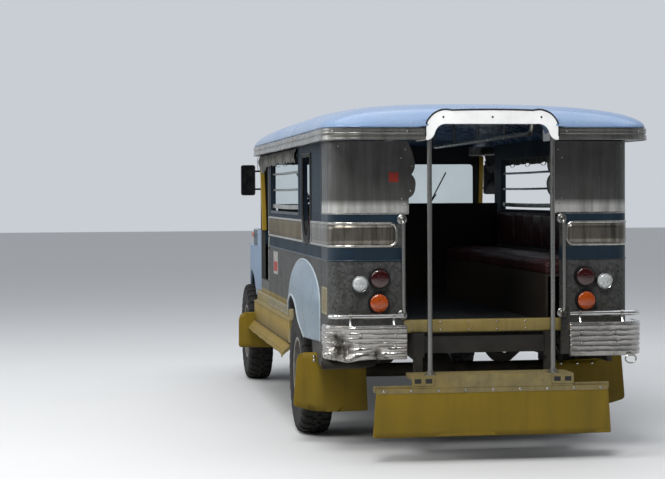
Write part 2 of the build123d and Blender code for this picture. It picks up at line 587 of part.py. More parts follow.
#   station    half width    top Z at the side    top Z at the middle
HOOD = ((HOOD_V[0], X_HOOD_REAR, 1165.0, 1192.0), (HOOD_V[1], X_HOOD_FRONT, 1118.0, 1142.0))
with BuildPart() as hood:
    for t, mode, v_off in ((0.0, Mode.ADD, 0.0), (HOOD_T, Mode.SUBTRACT, 1.0)):
        for (v, w, z_side, z_mid), e in zip(HOOD, (-1, 1)):
            with BuildSketch(at_y(ahead(v + e * v_off))):
                with BuildLine():
                    lo = HOOD_LOW - t / 6
                    r = 38.0
                    Line((-w + t, lo), (w - t, lo))
                    Line((w - t, lo), (w - t, z_side - r - t))
                    ThreePointArc((w - t, z_side - r - t), (w - t - r * 0.3, z_side - r * 0.3 - t), (w - t - r, z_side - t))
                    ThreePointArc((w - t - r, z_side - t), (0, z_mid - t), (-w + t + r, z_side - t))
                    ThreePointArc((-w + t + r, z_side - t), (-w + t + r * 0.3, z_side - r * 0.3 - t), (-w + t, z_side - r - t))
                    Line((-w + t, z_side - r - t), (-w + t, lo))
                make_face()
        loft(ruled=True, mode=mode)
save(hood, "hood")

# grille shell between the fenders, level bars across its mouth
MOUTH_X, MOUTH_Z = 330.0, (730.0, 1060.0)
with BuildPart() as grille_shell:
    with BuildSketch(at_y(ahead(V_GRILLE))):
        with Locations((0, 920)):
            RectangleRounded(2 * 452, 460, 60)
        with Locations((0, 740)):
            Rectangle(2 * 452, 100)
        with Locations((0, sum(MOUTH_Z) / 2)):
            RectangleRounded(2 * MOUTH_X, MOUTH_Z[1] - MOUTH_Z[0], 50, mode=Mode.SUBTRACT)
    extrude(amount=50)
    for i in range(7):
        z = MOUTH_Z[0] + (i + 1) * (MOUTH_Z[1] - MOUTH_Z[0]) / 8
        slab((-MOUTH_X - 10, MOUTH_X + 10), (ahead(V_GRILLE + 20), ahead(V_GRILLE + 42)), (z - 8, z + 8))
save(grille_shell, "grille_shell")

# front fenders: flat top, skirt with a wheel cut-out, rounded nose and inner
# apron, drawn in towards the nose, with a lamp box on top beside the hood
FENDER_T = 12.0
FENDER_NOSE = 5060.0
FRONT_ARCH_R = 490.0
X_APRON = 452.0
V_TAPER, X_NOSE = 4420.0, 795.0
BOX_V, BOX_X, BOX_TOP = (3905.0, 4330.0), (570.0, 835.0), Z_COWL_TOP
with BuildPart() as fender_outside:
    for _, s in SIDES:
        with BuildSketch(at_x(X_APRON if s > 0 else -X_FENDER)):
            with BuildLine():
                Line((ahead(V_FIREWALL), Z_FENDER_TOP), (ahead(4780), Z_FENDER_TOP))
                ThreePointArc((ahead(4780), Z_FENDER_TOP), (ahead(4990), Z_FENDER_TOP - 85), (ahead(FENDER_NOSE), 780))
                Line((ahead(FENDER_NOSE), 780), (ahead(FENDER_NOSE), Z_FRAME_TOP))
                Line((ahead(FENDER_NOSE), Z_FRAME_TOP), (ahead(V_FIREWALL), Z_FRAME_TOP))
                Line((ahead(V_FIREWALL), Z_FRAME_TOP), (ahead(V_FIREWALL), Z_FENDER_TOP))
            make_face()
        extrude(amount=X_FENDER - X_APRON)
    with BuildSketch(at_z(600)):
        for _, s in SIDES:
            with BuildLine():
                Polyline((s * 440, ahead(V_FIREWALL)), (s * X_FENDER, ahead(V_FIREWALL)), (s * X_FENDER, ahead(V_TAPER)),
                         (s * X_NOSE, ahead(FENDER_NOSE)), (s * 440, ahead(FENDER_NOSE)), (s * 440, ahead(V_FIREWALL)))
            make_face()
    extrude(amount=500, mode=Mode.INTERSECT)
with BuildPart() as fender_hollow:
    t = FENDER_T
    for _, s in SIDES:
        with BuildSketch(at_x(X_APRON + t if s > 0 else -X_FENDER + t)):
            with BuildLine():
                Line((ahead(V_FIREWALL + t), Z_FENDER_TOP - t), (ahead(4780), Z_FENDER_TOP - t))
                ThreePointArc((ahead(4780), Z_FENDER_TOP - t), (ahead(4982), Z_FENDER_TOP - 94), (ahead(FENDER_NOSE - t), 780))
                Line((ahead(FENDER_NOSE - t), 780), (ahead(FENDER_NOSE - t), Z_FRAME_TOP - 5))
                Line((ahead(FENDER_NOSE - t), Z_FRAME_TOP - 5), (ahead(V_FIREWALL + t), Z_FRAME_TOP - 5))
                Line((ahead(V_FIREWALL + t), Z_FRAME_TOP - 5), (ahead(V_FIREWALL + t), Z_FENDER_TOP - t))
            make_face()
        extrude(amount=X_FENDER - X_APRON - 2 * t)
    with BuildSketch(at_z(600)):
        for _, s in SIDES:
            with BuildLine():
                Polyline((s * 440, ahead(V_FIREWALL)), (s * (X_FENDER - t), ahead(V_FIREWALL)),
                         (s * (X_FENDER - t), ahead(V_TAPER)), (s * (X_NOSE - t), ahead(FENDER_NOSE)),
                         (s * 440, ahead(FENDER_NOSE)), (s * 440, ahead(V_FIREWALL)))
            make_face()
    extrude(amount=500, mode=Mode.INTERSECT)
with BuildPart() as front_fenders:
    add(fender_outside.part)
    add(fender_hollow.part, mode=Mode.SUBTRACT)
    for _, s in SIDES:
        # wheel cut-out through the skirt
        with BuildSketch(at_x(780 if s > 0 else -870)):
            with Locations((ahead(V_FRONT_AXLE), AXLE_Z)):
                Circle(FRONT_ARCH_R)
        extrude(amount=90, mode=Mode.SUBTRACT)
        slab((s * BOX_X[0], s * BOX_X[1]), (ahead(BOX_V[0]), ahead(BOX_V[1])), (Z_FENDER_TOP - 2, BOX_TOP))
save(front_fenders, "front_fenders")

# headlamps on the grille shell's shoulders
LAMP_R = 92.0
with BuildPart() as headlamps:
    for _, s in SIDES:
        rod((s * 548, ahead(5062), 880), (s * 548, ahead(5130), 880), LAMP_R)
        slab((s * 500, s * 596), (ahead(FENDER_NOSE), ahead(5090)), (700, 778))
        rod((s * 548, ahead(5075), 760), (s * 548, ahead(5075), 800), 12)
save(headlamps, "headlamps")

# rear fenders: bulged skins over the wheels, widest above the axle, open below
REAR_FENDER_V = (405.0, 1760.0)
FENDER_SKIN = 13.0
FENDER_ARCH_R = 470.0
FENDER_LOW_REAR, FENDER_LOW_FRONT = 615.0, 738.0
FENDER_MID_V = 1120.0
#   out from the side   rear    rear, low    front     shoulder    top
FENDER_LEVELS = (
    (0.0, REAR_FENDER_V[0], 405.0, REAR_FENDER_V[1], 830.0, 1062.0),
    (25.0, 450.0, 640.0, 1650.0, 820.0, 1045.0),
    (50.0, 560.0, 880.0, 1500.0, 800.0, 1010.0),
    (68.0, 690.0, 960.0, 1370.0, 790.0, 965.0),
    (75.0, 800.0, 1000.0, 1250.0, 780.0, 910.0),
)

def quarter_oval(foot, crown):
    """Two arcs close to a quarter ellipse, upright at its foot and level at its crown."""
    (y0, z0), (y1, z1) = foot, crown
    a, b, c, d, e = [(y1 + (y0 - y1) * cos(radians(t)), z0 + (z1 - z0) * sin(radians(t))) for t in (0, 20, 42, 66, 90)]
    ThreePointArc(a, b, c)
    ThreePointArc(c, d, e)


with BuildPart() as rear_fenders:
    for _, s in SIDES:
        outer = Plane.YZ.offset(s * X_BODY) if s > 0 else Plane(origin=(-X_BODY, 0, 0), x_dir=(0, -1, 0), z_dir=(-1, 0, 0))
        flip = 1 if s > 0 else -1
        for g, mode in ((0.0, Mode.ADD), (FENDER_SKIN, Mode.SUBTRACT)):
            for level, v_r, v_low, v_f, z_s, z_t in FENDER_LEVELS:
                out = level - (g if level else 0.0) - (0.5 if g and not level else 0.0)
                y_r, y_low, y_f = flip * ahead(v_r + g), flip * ahead(v_low + g), flip * ahead(v_f - g)
                y_m, low = flip * ahead(FENDER_MID_V), 450.0 + level + g
                z_t = z_t - g
                with BuildSketch(outer.offset(out)):
                    with BuildLine():
                        Line((y_f, low), (y_low, low))
                        Line((y_low, low), (y_r, z_s))
                        quarter_oval((y_r, z_s), (y_m, z_t))
                        quarter_oval((y_f, z_s), (y_m, z_t))
                        Line((y_f, z_s), (y_f, low))
                    make_face()
            loft(ruled=True, mode=mode)
        # open below, with the arch over the wheel
        x_cut = X_BODY - 5 if s > 0 else -X_BODY - 90
        with BuildSketch(at_x(x_cut)):
            with Locations((ahead(V_REAR_AXLE), AXLE_Z)):
                Circle(FENDER_ARCH_R)
        extrude(amount=95, mode=Mode.SUBTRACT)
        slab((s * (X_BODY - 5), s * (X_BODY + 90)), (ahead(380), ahead(V_REAR_AXLE)), (400, FENDER_LOW_REAR), mode=Mode.SUBTRACT)
        slab((s * (X_BODY - 5), s * (X_BODY + 90)), (ahead(V_REAR_AXLE), ahead(1790)), (400, FENDER_LOW_FRONT), mode=Mode.SUBTRACT)
save(rear_fenders, "rear_fenders")

# side steps: panel, ledge and flared lip along the low edge
BOARD_V = (1606.0, 3860.0)
with BuildPart() as running_boards:
    for _, s in SIDES:
        with BuildSketch(at_y(ahead(BOARD_V[0]))):
            with BuildLine():
                Polyline((s * 850, 735), (s * 858, 735), (s * 858, 662), (s * 882, 650), (s * 878, 500),
                         (s * 925, 452), (s * 925, 434), (s * 868, 478), (s * 850, 478), (s * 850, 735))
            make_face()
        extrude(amount=BOARD_V[1] - BOARD_V[0])
save(running_boards, "running_boards")

# front bumper channel with its two brackets
TOW_HOLE_R = 13.0
PLATE_HOLES, PLATE_HOLE_R = 200.0, 4.0
with BuildPart() as front_bumper:
    with BuildSketch(at_z(475)):
        with BuildLine():
            Polyline((-840, ahead(5190)), (-800, ahead(5260)), (-700, ahead(V_NOSE)), (700, ahead(V_NOSE)),
                     (800, ahead(5260)), (840, ahead(5190)), (826, ahead(5180)), (788, ahead(5246)),
                     (694, ahead(5284)), (-694, ahead(5284)), (-788, ahead(5246)), (-826, ahead(5180)),
                     (-840, ahead(5190)))
        make_face()
    extrude(amount=135)
    for z in (475, 595):
        with BuildSketch(at_z(z)):
            with BuildLine():
                Polyline((-694, ahead(5290)), (-700, ahead(5250)), (700, ahead(5250)), (694, ahead(5290)), (-694, ahead(5290)))
            make_face()
        extrude(amount=15)
    for _, s in SIDES:
        slab((s * (X_FRAME - 50), s * (X_FRAME - 10)), (ahead(FRAME_FRONT), ahead(5290)), (Z_FRAME_LOW, 608))
        # towing eye, a plate with a shackle hole
        slab((s * 240, s * 256), (ahead(5205), ahead(5290)), (410, 480))
        rod((s * 230, ahead(5255), 440), (s * 266, ahead(5255), 440), TOW_HOLE_R, mode=Mode.SUBTRACT)
    # holes for a number plate
    for x in (-PLATE_HOLES / 2, PLATE_HOLES / 2):
        rod((x, ahead(5270), 543), (x, ahead(V_NOSE + 5), 543), PLATE_HOLE_R, mode=Mode.SUBTRACT)
save(front_bumper, "front_bumper")

# rear bumpers: a deep band round each corner and the bright tube above it
BUMPER_Z = (560.0, 745.0)
BUMPER_BACK, BUMPER_SIDE, BUMPER_END = -160.0, 895.0, 60.0
BUMPER_T = 34.0
with BuildPart() as rear_bumpers:
    for _, s in SIDES:
        with BuildSketch(at_z(BUMPER_Z[0])):
            with BuildLine():
                r_out = 160.0
                r_in = r_out - BUMPER_T
                cx, cy = BUMPER_SIDE - r_out, ahead(BUMPER_BACK + r_out)
                k = sin(radians(45))
                Line((s * 455, ahead(BUMPER_BACK)), (s * cx, ahead(BUMPER_BACK)))
                ThreePointArc((s * cx, ahead(BUMPER_BACK)), (s * (cx + r_out * k), cy + r_out * k), (s * BUMPER_SIDE, cy))
                Line((s * BUMPER_SIDE, cy), (s * BUMPER_SIDE, ahead(BUMPER_END)))
                Line((s * BUMPER_SIDE, ahead(BUMPER_END)), (s * (BUMPER_SIDE - BUMPER_T), ahead(BUMPER_END)))
                Line((s * (BUMPER_SIDE - BUMPER_T), ahead(BUMPER_END)), (s * (BUMPER_SIDE - BUMPER_T), cy))
                ThreePointArc((s * (BUMPER_SIDE - BUMPER_T), cy), (s * (cx + r_in * k), cy + r_in * k), (s * cx, ahead(BUMPER_BACK + BUMPER_T)))
                Line((s * cx, ahead(BUMPER_BACK + BUMPER_T)), (s * 455, ahead(BUMPER_BACK + BUMPER_T)))
                Line((s * 455, ahead(BUMPER_BACK + BUMPER_T)), (s * 455, ahead(BUMPER_BACK)))
            make_face()
        extrude(amount=BUMPER_Z[1] - BUMPER_Z[0])
        # brackets to the body and to the side
        slab((s * 500, s * 540), (ahead(BUMPER_BACK + BUMPER_T - 2), ahead(0)), (620, 700))
        slab((s * 690, s * 730), (ahead(BUMPER_BACK + BUMPER_T - 2), ahead(0)), (620, 700))
        slab((s * 833, s * (BUMPER_SIDE - BUMPER_T + 2)), (ahead(BUMPER_END - 2), ahead(BUMPER_END - 27)), (620, 700))
        # bright tube on stand-offs
        with BuildLine() as tube_path:
            FilletPolyline((s * 470, ahead(-118), 792), (s * 838, ahead(-118), 792), (s * 862, ahead(-70), 792), radius=30)
        with BuildSketch(Plane(origin=tube_path.line @ 0, z_dir=tube_path.line % 0)):
            Circle(14)
        sweep()
        for x in (520, 760):
            rod((s * x, ahead(-118), 792), (s * x, ahead(-118 - 20), 735), 8)
    # towing ring under the right bumper
    with BuildSketch(at_y(ahead(BUMPER_BACK))):
        with Locations((-800, 541)):
            RectangleRounded(70, 56, 12)
            RectangleRounded(52, 38, 8, mode=Mode.SUBTRACT)
    extrude(amount=10)
save(rear_bumpers, "rear_bumpers")

# lamps on the rear corners: clear, red and amber
#        X      Z      radius
LAMPS = ((690.0, 965.0, 46.5), (580.0, 992.0, 59.0), (585.0, 858.0, 58.0))
LAMP_DEPTH = 48.0
with BuildPart() as tail_lamps:
    for _, s in SIDES:
        for x, z, r in LAMPS:
            rod((s * x, ahead(0), z), (s * x, ahead(-LAMP_DEPTH + 12), z), r)
            rod((s * x, ahead(-LAMP_DEPTH + 12), z), (s * x, ahead(-LAMP_DEPTH), z), r - 9)
save(tail_lamps, "tail_lamps")

# rear step on the frame's drop brackets, with the bar that carries the wide flap
STEP_V = (-60.0, -250.0)
STEP_Z = 480.0
X_STEP = 445.0
with BuildPart() as rear_step:
    slab((-X_STEP, X_STEP), (ahead(STEP_V[0]), ahead(STEP_V[1])), (STEP_Z - 25, STEP_Z))
    slab((-X_STEP, X_STEP), (ahead(STEP_V[1] + 14), ahead(STEP_V[1])), (412, STEP_Z))
    slab((-650, 650), (ahead(STEP_V[1] + 44), ahead(STEP_V[1] + 14)), (392, 424))
save(rear_step, "rear_step")

# mud flaps: one wide at the rear, a pair behind each axle
FLAP_T = 8.0
FLAP_V = STEP_V[1] + 6.0
with BuildPart() as mud_flaps:
    with BuildSketch(at_y(ahead(FLAP_V))):
        with BuildLine():
            Polyline((-640, 412), (640, 412), (662, 146), (-662, 146), (-640, 412))
        make_face()
    extrude(amount=FLAP_T)
    for _, s in SIDES:
        with BuildSketch(at_y(ahead(548))):
            with BuildLine():
                Polyline((s * 566, 468), (s * 818, 468), (s * 818, 480), (s * 852, 480), (s * 852, 544), (s * 912, 544))
                ThreePointArc((s * 912, 544), (s * 950, 530), (s * 968, 494))
                Polyline((s * 968, 494), (s * 992, 243), (s * 984, 231))
                ThreePointArc((s * 984, 231), (s * 880, 204), (s * 760, 197))
                Polyline((s * 760, 197), (s * 556, 199), (s * 566, 468))
            make_face()
        extrude(amount=FLAP_T)
        with BuildSketch(at_y(ahead(3868))):
            with BuildLine():
                Polyline((s * 720, 478), (s * 852, 478), (s * 852, 560), (s * 990, 560), (s * 1004, 540), (s * 1004, 292),
                         (s * 720, 284), (s * 720, 478))
            make_face()
        extrude(amount=FLAP_T)
        # hangers for the inner edges
        rod((s * 700, ahead(556), 460), (s * 700, ahead(556), Z_FRAME_TOP), 9)
save(mud_flaps, "mud_flaps")

# handrails: posts and grab rails at the entrance, two rails under the ceiling
RAIL_R = 13.0
CEIL_X, CEIL_Z = 300.0, 1790.0
with BuildPart() as handrails:
    for _, s in SIDES:
        rod((s * 340, ahead(-214), STEP_Z), (s * 340, ahead(-214), Z_RAIL_TOP), RAIL_R)
        with BuildLine() as grab:
            FilletPolyline((s * 452, ahead(4), 1316), (s * 452, ahead(-46), 1316), (s * 452, ahead(-46), 790), (s * 452, ahead(4), 790), radius=30)
        with BuildSketch(Plane(origin=grab.line @ 0, z_dir=grab.line % 0)):
            Circle(11)
        sweep()
        with BuildLine() as ceiling:
            FilletPolyline((s * CEIL_X, ahead(60), 1905.8), (s * CEIL_X, ahead(60), CEIL_Z), (s * CEIL_X, ahead(2780), CEIL_Z),
                           (s * CEIL_X, ahead(2780), 1932.8), radius=60)
        with BuildSketch(Plane(origin=ceiling.line @ 0, z_dir=ceiling.line % 0)):
            Circle(RAIL_R)
        sweep()
        for v, z_ceiling in ((700.0, 1935.3), (1400.0, 1941.8), (2100.0, 1941.8)):
            rod((s * CEIL_X, ahead(v), CEIL_Z), (s * CEIL_X, ahead(v), z_ceiling), 8)
    # cut level with the corner sheet and the ceiling
    slab((-470, 470), (ahead(0), ahead(20)), (770, 1335), mode=Mode.SUBTRACT)
save(handrails, "handrails")

# guard bars across the long windows
BAR_Z = (1380.0, 1490.0, 1600.0)
with BuildPart() as window_bars:
    for _, s in SIDES:
        for z in BAR_Z:
            rod((s * (X_BODY - WALL / 2), ahead(MAIN_WINDOW[0]), z), (s * (X_BODY - WALL / 2), ahead(MAIN_WINDOW[1]), z), 8)
save(window_bars, "window_bars")

# rain curtain gathered under the roof rail, outside the window and doorway,
# hanging lower over the doorway
CURTAIN_X = (X_BODY + 2, X_BODY + 36)
CURTAIN_V = (1390.0, 3590.0)
CURTAIN_Z = 1648.0
with BuildPart() as window_curtains:
    for _, s in SIDES:
        slab((s * CURTAIN_X[0], s * CURTAIN_X[1]), (ahead(CURTAIN_V[0]), ahead(CURTAIN_V[1])), (CURTAIN_Z, Z_RAIL_LOW))
        slab((s * CURTAIN_X[0], s * CURTAIN_X[1]), (ahead(3060), ahead(3540)), (1600, CURTAIN_Z + 1))
save(window_curtains, "window_curtains")

# mirrors on arms from the windshield posts
MIRROR_X = (886.0, 990.0)
MIRROR_Z = (1455.0, 1680.0)
with BuildPart() as mirrors:
    for _, s in SIDES:
        with BuildSketch(at_y(ahead(3712))):
            with Locations((s * sum(MIRROR_X) / 2, sum(MIRROR_Z) / 2)):
                RectangleRounded(MIRROR_X[1] - MIRROR_X[0], MIRROR_Z[1] - MIRROR_Z[0], 14)
        extrude(amount=30)
        for z in (1500.0, 1635.0):
            rod((s * (X_BODY - 12), ahead(V_WINDSHIELD + FRAME_T), z), (s * (X_BODY - 12), ahead(3727), z), 7)
            rod((s * (X_BODY - 12), ahead(3727), z), (s * (MIRROR_X[0] + 10), ahead(3727), z), 7)
            ball((s * (X_BODY - 12), ahead(3727), z), 7)
save(mirrors, "mirrors")

# steering column and wheel, on the left
STEER_V, STEER_Z = 3430.0, 1290.0
STEER_HUB = (STEER_X, ahead(STEER_V), STEER_Z)
RAKE = radians(40)
SHAFT_R = 12.0
axis_dir = Vector(0, -cos(RAKE), -sin(RAKE))     # down the column, forwards
hub = Vector(*STEER_HUB)
with BuildPart() as steering_column:
    foot = hub + axis_dir * ((3900.0 - STEER_V) / cos(RAKE))
    rod(tuple(hub + axis_dir * 45), tuple(foot), 22)
    rod(tuple(hub - axis_dir * 20), tuple(hub + axis_dir * 60), SHAFT_R)
    at_dash = hub + axis_dir * ((V_WINDSHIELD + 6 - STEER_V) / cos(RAKE))
    slab((STEER_X - 18, STEER_X + 18), (ahead(V_WINDSHIELD), ahead(V_WINDSHIELD + 15)), (at_dash.Z, DASH_SLOT_TOP))
    # pedals on their stalks
    for x in (STEER_X - 150, STEER_X + 20, STEER_X + 130):
        slab((x - 32, x + 32), (ahead(3815), ahead(3823)), (800, 860))
        rod((x, ahead(3822), 850), (x, ahead(3892), 980), 7)
    # flush with the firewall
    slab((STEER_X - 200, STEER_X + 200), (ahead(V_FIREWALL - 15), ahead(V_FIREWALL + 60)), (700, 1100), mode=Mode.SUBTRACT)
save(steering_column, "steering_column")

WHEEL_R = 200.0
with BuildPart() as steering_wheel:
    wheel_plane = Plane(origin=hub, x_dir=(1, 0, 0), z_dir=axis_dir)
    with Locations(wheel_plane):
        Torus(WHEEL_R, 13)
    with BuildSketch(wheel_plane.offset(-14)):
        Circle(34)
    extrude(amount=54)
    for a in (90, 210, 330):
        tip = wheel_plane.from_local_coords(Vector(WHEEL_R * cos(radians(a)), WHEEL_R * sin(radians(a)), 0))
        rod(tuple(hub + axis_dir * 8), tuple(tip), 9)
    with BuildSketch(wheel_plane.offset(-40)):
        Circle(SHAFT_R + BEARING_GAP)
    extrude(amount=100, mode=Mode.SUBTRACT)
save(steering_wheel, "steering_wheel")

# seat frames: the two benches and the front seat with its back board
BENCH_V = (150.0, 2840.0)
BENCH_X = 400.0
SEAT_Z = 1000.0            # top of the seat boards
FRONT_SEAT_V = (2930.0, 3345.0)
FRONT_SEAT_Z = 960.0
with BuildPart() as seat_frames:
    for _, s in SIDES:
        slab((s * BENCH_X, s * (BENCH_X + 15)), (ahead(BENCH_V[0]), ahead(BENCH_V[1])), (Z_FLOOR, SEAT_Z))
        slab((s * BENCH_X, s * (X_BODY - WALL)), (ahead(BENCH_V[0]), ahead(BENCH_V[1])), (SEAT_Z - 15, SEAT_Z))
    x = 800.0
    slab((-x, x), (ahead(FRONT_SEAT_V[0]), ahead(FRONT_SEAT_V[1])), (FRONT_SEAT_Z - 15, FRONT_SEAT_Z))
    slab((-x, x), (ahead(FRONT_SEAT_V[1] - 15), ahead(FRONT_SEAT_V[1])), (Z_FLOOR, FRONT_SEAT_Z))
    slab((-x, x), (ahead(FRONT_SEAT_V[0]), ahead(FRONT_SEAT_V[0] + 15)), (Z_FLOOR, 1390))
save(seat_frames, "seat_frames")

# seat pads: bench cushions and backs, and the front seat's
PAD_T = 80.0
with BuildPart() as seat_pads:
    for _, s in SIDES:
        slab((s * (BENCH_X - 5), s * 770), (ahead(BENCH_V[0] + 5), ahead(BENCH_V[1] - 5)), (SEAT_Z, SEAT_Z + PAD_T))
        slab((s * 772, s * (X_BODY - WALL)), (ahead(BENCH_V[0] + 5), ahead(BENCH_V[1] - 5)), (SEAT_Z + PAD_T + 20, 1330))
        slab((s * 20, s * 780), (ahead(FRONT_SEAT_V[0] + 90), ahead(FRONT_SEAT_V[1] + 4)), (FRONT_SEAT_Z, FRONT_SEAT_Z + PAD_T))
        slab((s * 20, s * 780), (ahead(FRONT_SEAT_V[0] + 15), ahead(FRONT_SEAT_V[0] + 88)), (FRONT_SEAT_Z + 4, 1380))
save(seat_pads, "seat_pads")
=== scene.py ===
import bpy, bmesh, math
import numpy as np
from mathutils import Vector, Matrix


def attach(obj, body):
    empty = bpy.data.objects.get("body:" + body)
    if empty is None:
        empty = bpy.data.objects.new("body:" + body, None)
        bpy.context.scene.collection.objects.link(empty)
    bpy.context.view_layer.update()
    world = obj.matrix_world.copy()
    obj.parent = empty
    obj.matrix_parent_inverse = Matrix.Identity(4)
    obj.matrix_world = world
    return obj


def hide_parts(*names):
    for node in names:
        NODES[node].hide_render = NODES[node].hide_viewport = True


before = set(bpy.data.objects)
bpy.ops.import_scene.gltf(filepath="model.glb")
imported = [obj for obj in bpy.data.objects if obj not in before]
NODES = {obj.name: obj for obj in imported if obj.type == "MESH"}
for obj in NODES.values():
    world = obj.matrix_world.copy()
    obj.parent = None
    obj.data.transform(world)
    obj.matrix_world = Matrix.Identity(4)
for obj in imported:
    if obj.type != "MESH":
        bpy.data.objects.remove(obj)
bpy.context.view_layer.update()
rng = np.random.default_rng(8043)


def Y(v):
    """Station v (mm forward of the tail) to metres along Y."""
    return 2.525 - v / 1000.0


# ------------------------------------------------------------------ materials
class Mat:
    """A small builder of node materials; object coordinates are metres."""

    def __init__(self, name):
        self.m = bpy.data.materials.new(name)
        self.m.use_nodes = True
        self.t = self.m.node_tree
        self.n = self.t.nodes
        self.bsdf = self.n["Principled BSDF"]
        self.co = self.n.new("ShaderNodeTexCoord").outputs["Object"]
        self._xyz = None

    def link(self, a, b):
        self.t.links.new(a, b)

    def put(self, sock, value):
        if hasattr(value, "is_output") or isinstance(value, bpy.types.NodeSocket):
            self.link(value, sock)
        elif isinstance(value, (tuple, list)) and len(value) == 3 and sock.type == "RGBA":
            sock.default_value = (*value, 1.0)
        else:
            sock.default_value = value

    def scaled(self, s):
        n = self.n.new("ShaderNodeMapping")
        self.link(self.co, n.inputs["Vector"])
        n.inputs["Scale"].default_value = s if isinstance(s, (tuple, list)) else (s, s, s)
        return n.outputs[0]

    def noise(self, scale, detail=4.0, rough=0.55, stretch=(1, 1, 1), dist=0.0, vec=None):
        n = self.n.new("ShaderNodeTexNoise")
        self.link(vec if vec is not None else self.scaled(stretch), n.inputs["Vector"])
        n.inputs["Scale"].default_value = scale
        n.inputs["Detail"].default_value = detail
        n.inputs["Roughness"].default_value = rough
        n.inputs["Distortion"].default_value = dist
        return n.outputs["Fac"]

    def voronoi(self, scale, stretch=(1, 1, 1), feature="F1", out="Distance", rand=1.0):
        n = self.n.new("ShaderNodeTexVoronoi")
        n.feature = feature
        self.link(self.scaled(stretch), n.inputs["Vector"])
        n.inputs["Scale"].default_value = scale
        n.inputs["Randomness"].default_value = rand
        return n.outputs[out]

    def wave(self, scale, stretch=(1, 1, 1), direction="X", dist=0.0):
        n = self.n.new("ShaderNodeTexWave")
        n.wave_type = "BANDS"
        n.bands_direction = direction
        self.link(self.scaled(stretch), n.inputs["Vector"])
        n.inputs["Scale"].default_value = scale
        n.inputs["Distortion"].default_value = dist
        return n.outputs["Fac"]

    def ramp(self, fac, stops, interp="LINEAR"):
        n = self.n.new("ShaderNodeValToRGB")
        n.color_ramp.interpolation = interp
        els = n.color_ramp.elements
        while len(els) < len(stops):
            els.new(0.5)
        for e, (p, c) in zip(els, stops):
            e.position = p
            e.color = (c, c, c, 1) if isinstance(c, (int, float)) else (*c, 1)
        self.put(n.inputs["Fac"], fac)
        return n.outputs["Color"]

    def mix(self, fac, a, b, mode="MIX"):
        n = self.n.new("ShaderNodeMix")
        n.data_type = "RGBA"
        n.blend_type = mode
        n.clamp_factor = True
        self.put(n.inputs[0], fac)
        self.put(n.inputs[6], a)
        self.put(n.inputs[7], b)
        return n.outputs[2]

    def math(self, op, a, b=0.0, c=None, clamp=False):
        n = self.n.new("ShaderNodeMath")
        n.operation = op
        n.use_clamp = clamp
        self.put(n.inputs[0], a)
        self.put(n.inputs[1], b)
        if c is not None:
            self.put(n.inputs[2], c)
        return n.outputs[0]

    def xyz(self, i):
        if self._xyz is None:
            n = self.n.new("ShaderNodeSeparateXYZ")
            self.link(self.co, n.inputs[0])
            self._xyz = n
        return self._xyz.outputs[i]

    def normal(self, i):
        n = self.n.new("ShaderNodeNewGeometry")
        s = self.n.new("ShaderNodeSeparateXYZ")
        self.link(n.outputs["Normal"], s.inputs[0])
        return s.outputs[i]

    def span(self, value, lo, hi):
        """0 below lo, 1 above hi, straight between."""
        n = self.n.new("ShaderNodeMapRange")
        n.clamp = True
        self.put(n.inputs["Value"], value)
        n.inputs["From Min"].default_value = lo
        n.inputs["From Max"].default_value = hi
        return n.outputs["Result"]

    def band(self, value, lo, hi, soft=0.001):
        """1 between lo and hi."""
        return self.math("MULTIPLY", self.span(value, lo - soft, lo + soft),
                         self.math("SUBTRACT", 1.0, self.span(value, hi - soft, hi + soft)))

    def bump(self, height, strength=0.3, distance=0.001, under=None):
        n = self.n.new("ShaderNodeBump")
        self.put(n.inputs["Height"], height)
        n.inputs["Strength"].default_value = strength
        n.inputs["Distance"].default_value = distance
        if under is not None:
            self.link(under, n.inputs["Normal"])
        return n.outputs["Normal"]

    def out(self, color=None, rough=None, metal=None, normal=None, **more):
        b = self.bsdf.inputs
        for key, val in (("Base Color", color), ("Roughness", rough), ("Metallic", metal)):
            if val is not None:
                self.put(b[key], val)
        if normal is not None:
            self.link(normal, b["Normal"])
        b["Specular IOR Level"].default_value = 0.22
        for key, val in more.items():
            b[key].default_value = val
        return self.m


def low_dirt(M, top=0.9, reach=0.45):
    """Road dirt: strongest at the ground, broken up by noise."""
    z = M.xyz(2)
    fade = M.math("SUBTRACT", 1.0, M.span(z, top - reach, top))
    blot = M.ramp(M.noise(9.0, 6.0, 0.65), [(0.35, 0.0), (0.72, 1.0)])
    return M.math("MULTIPLY", fade, M.math("ADD", M.math("MULTIPLY", blot, 0.7), 0.2), clamp=True)


def runs(M, scale=26.0, sharp=(0.5, 0.78)):
    """Streaks that run down a wall."""
    return M.ramp(M.noise(scale, 5.0, 0.6, stretch=(1.0, 1.0, 0.07)), [(sharp[0], 0.0), (sharp[1], 1.0)])


DUST = (0.085, 0.072, 0.053)


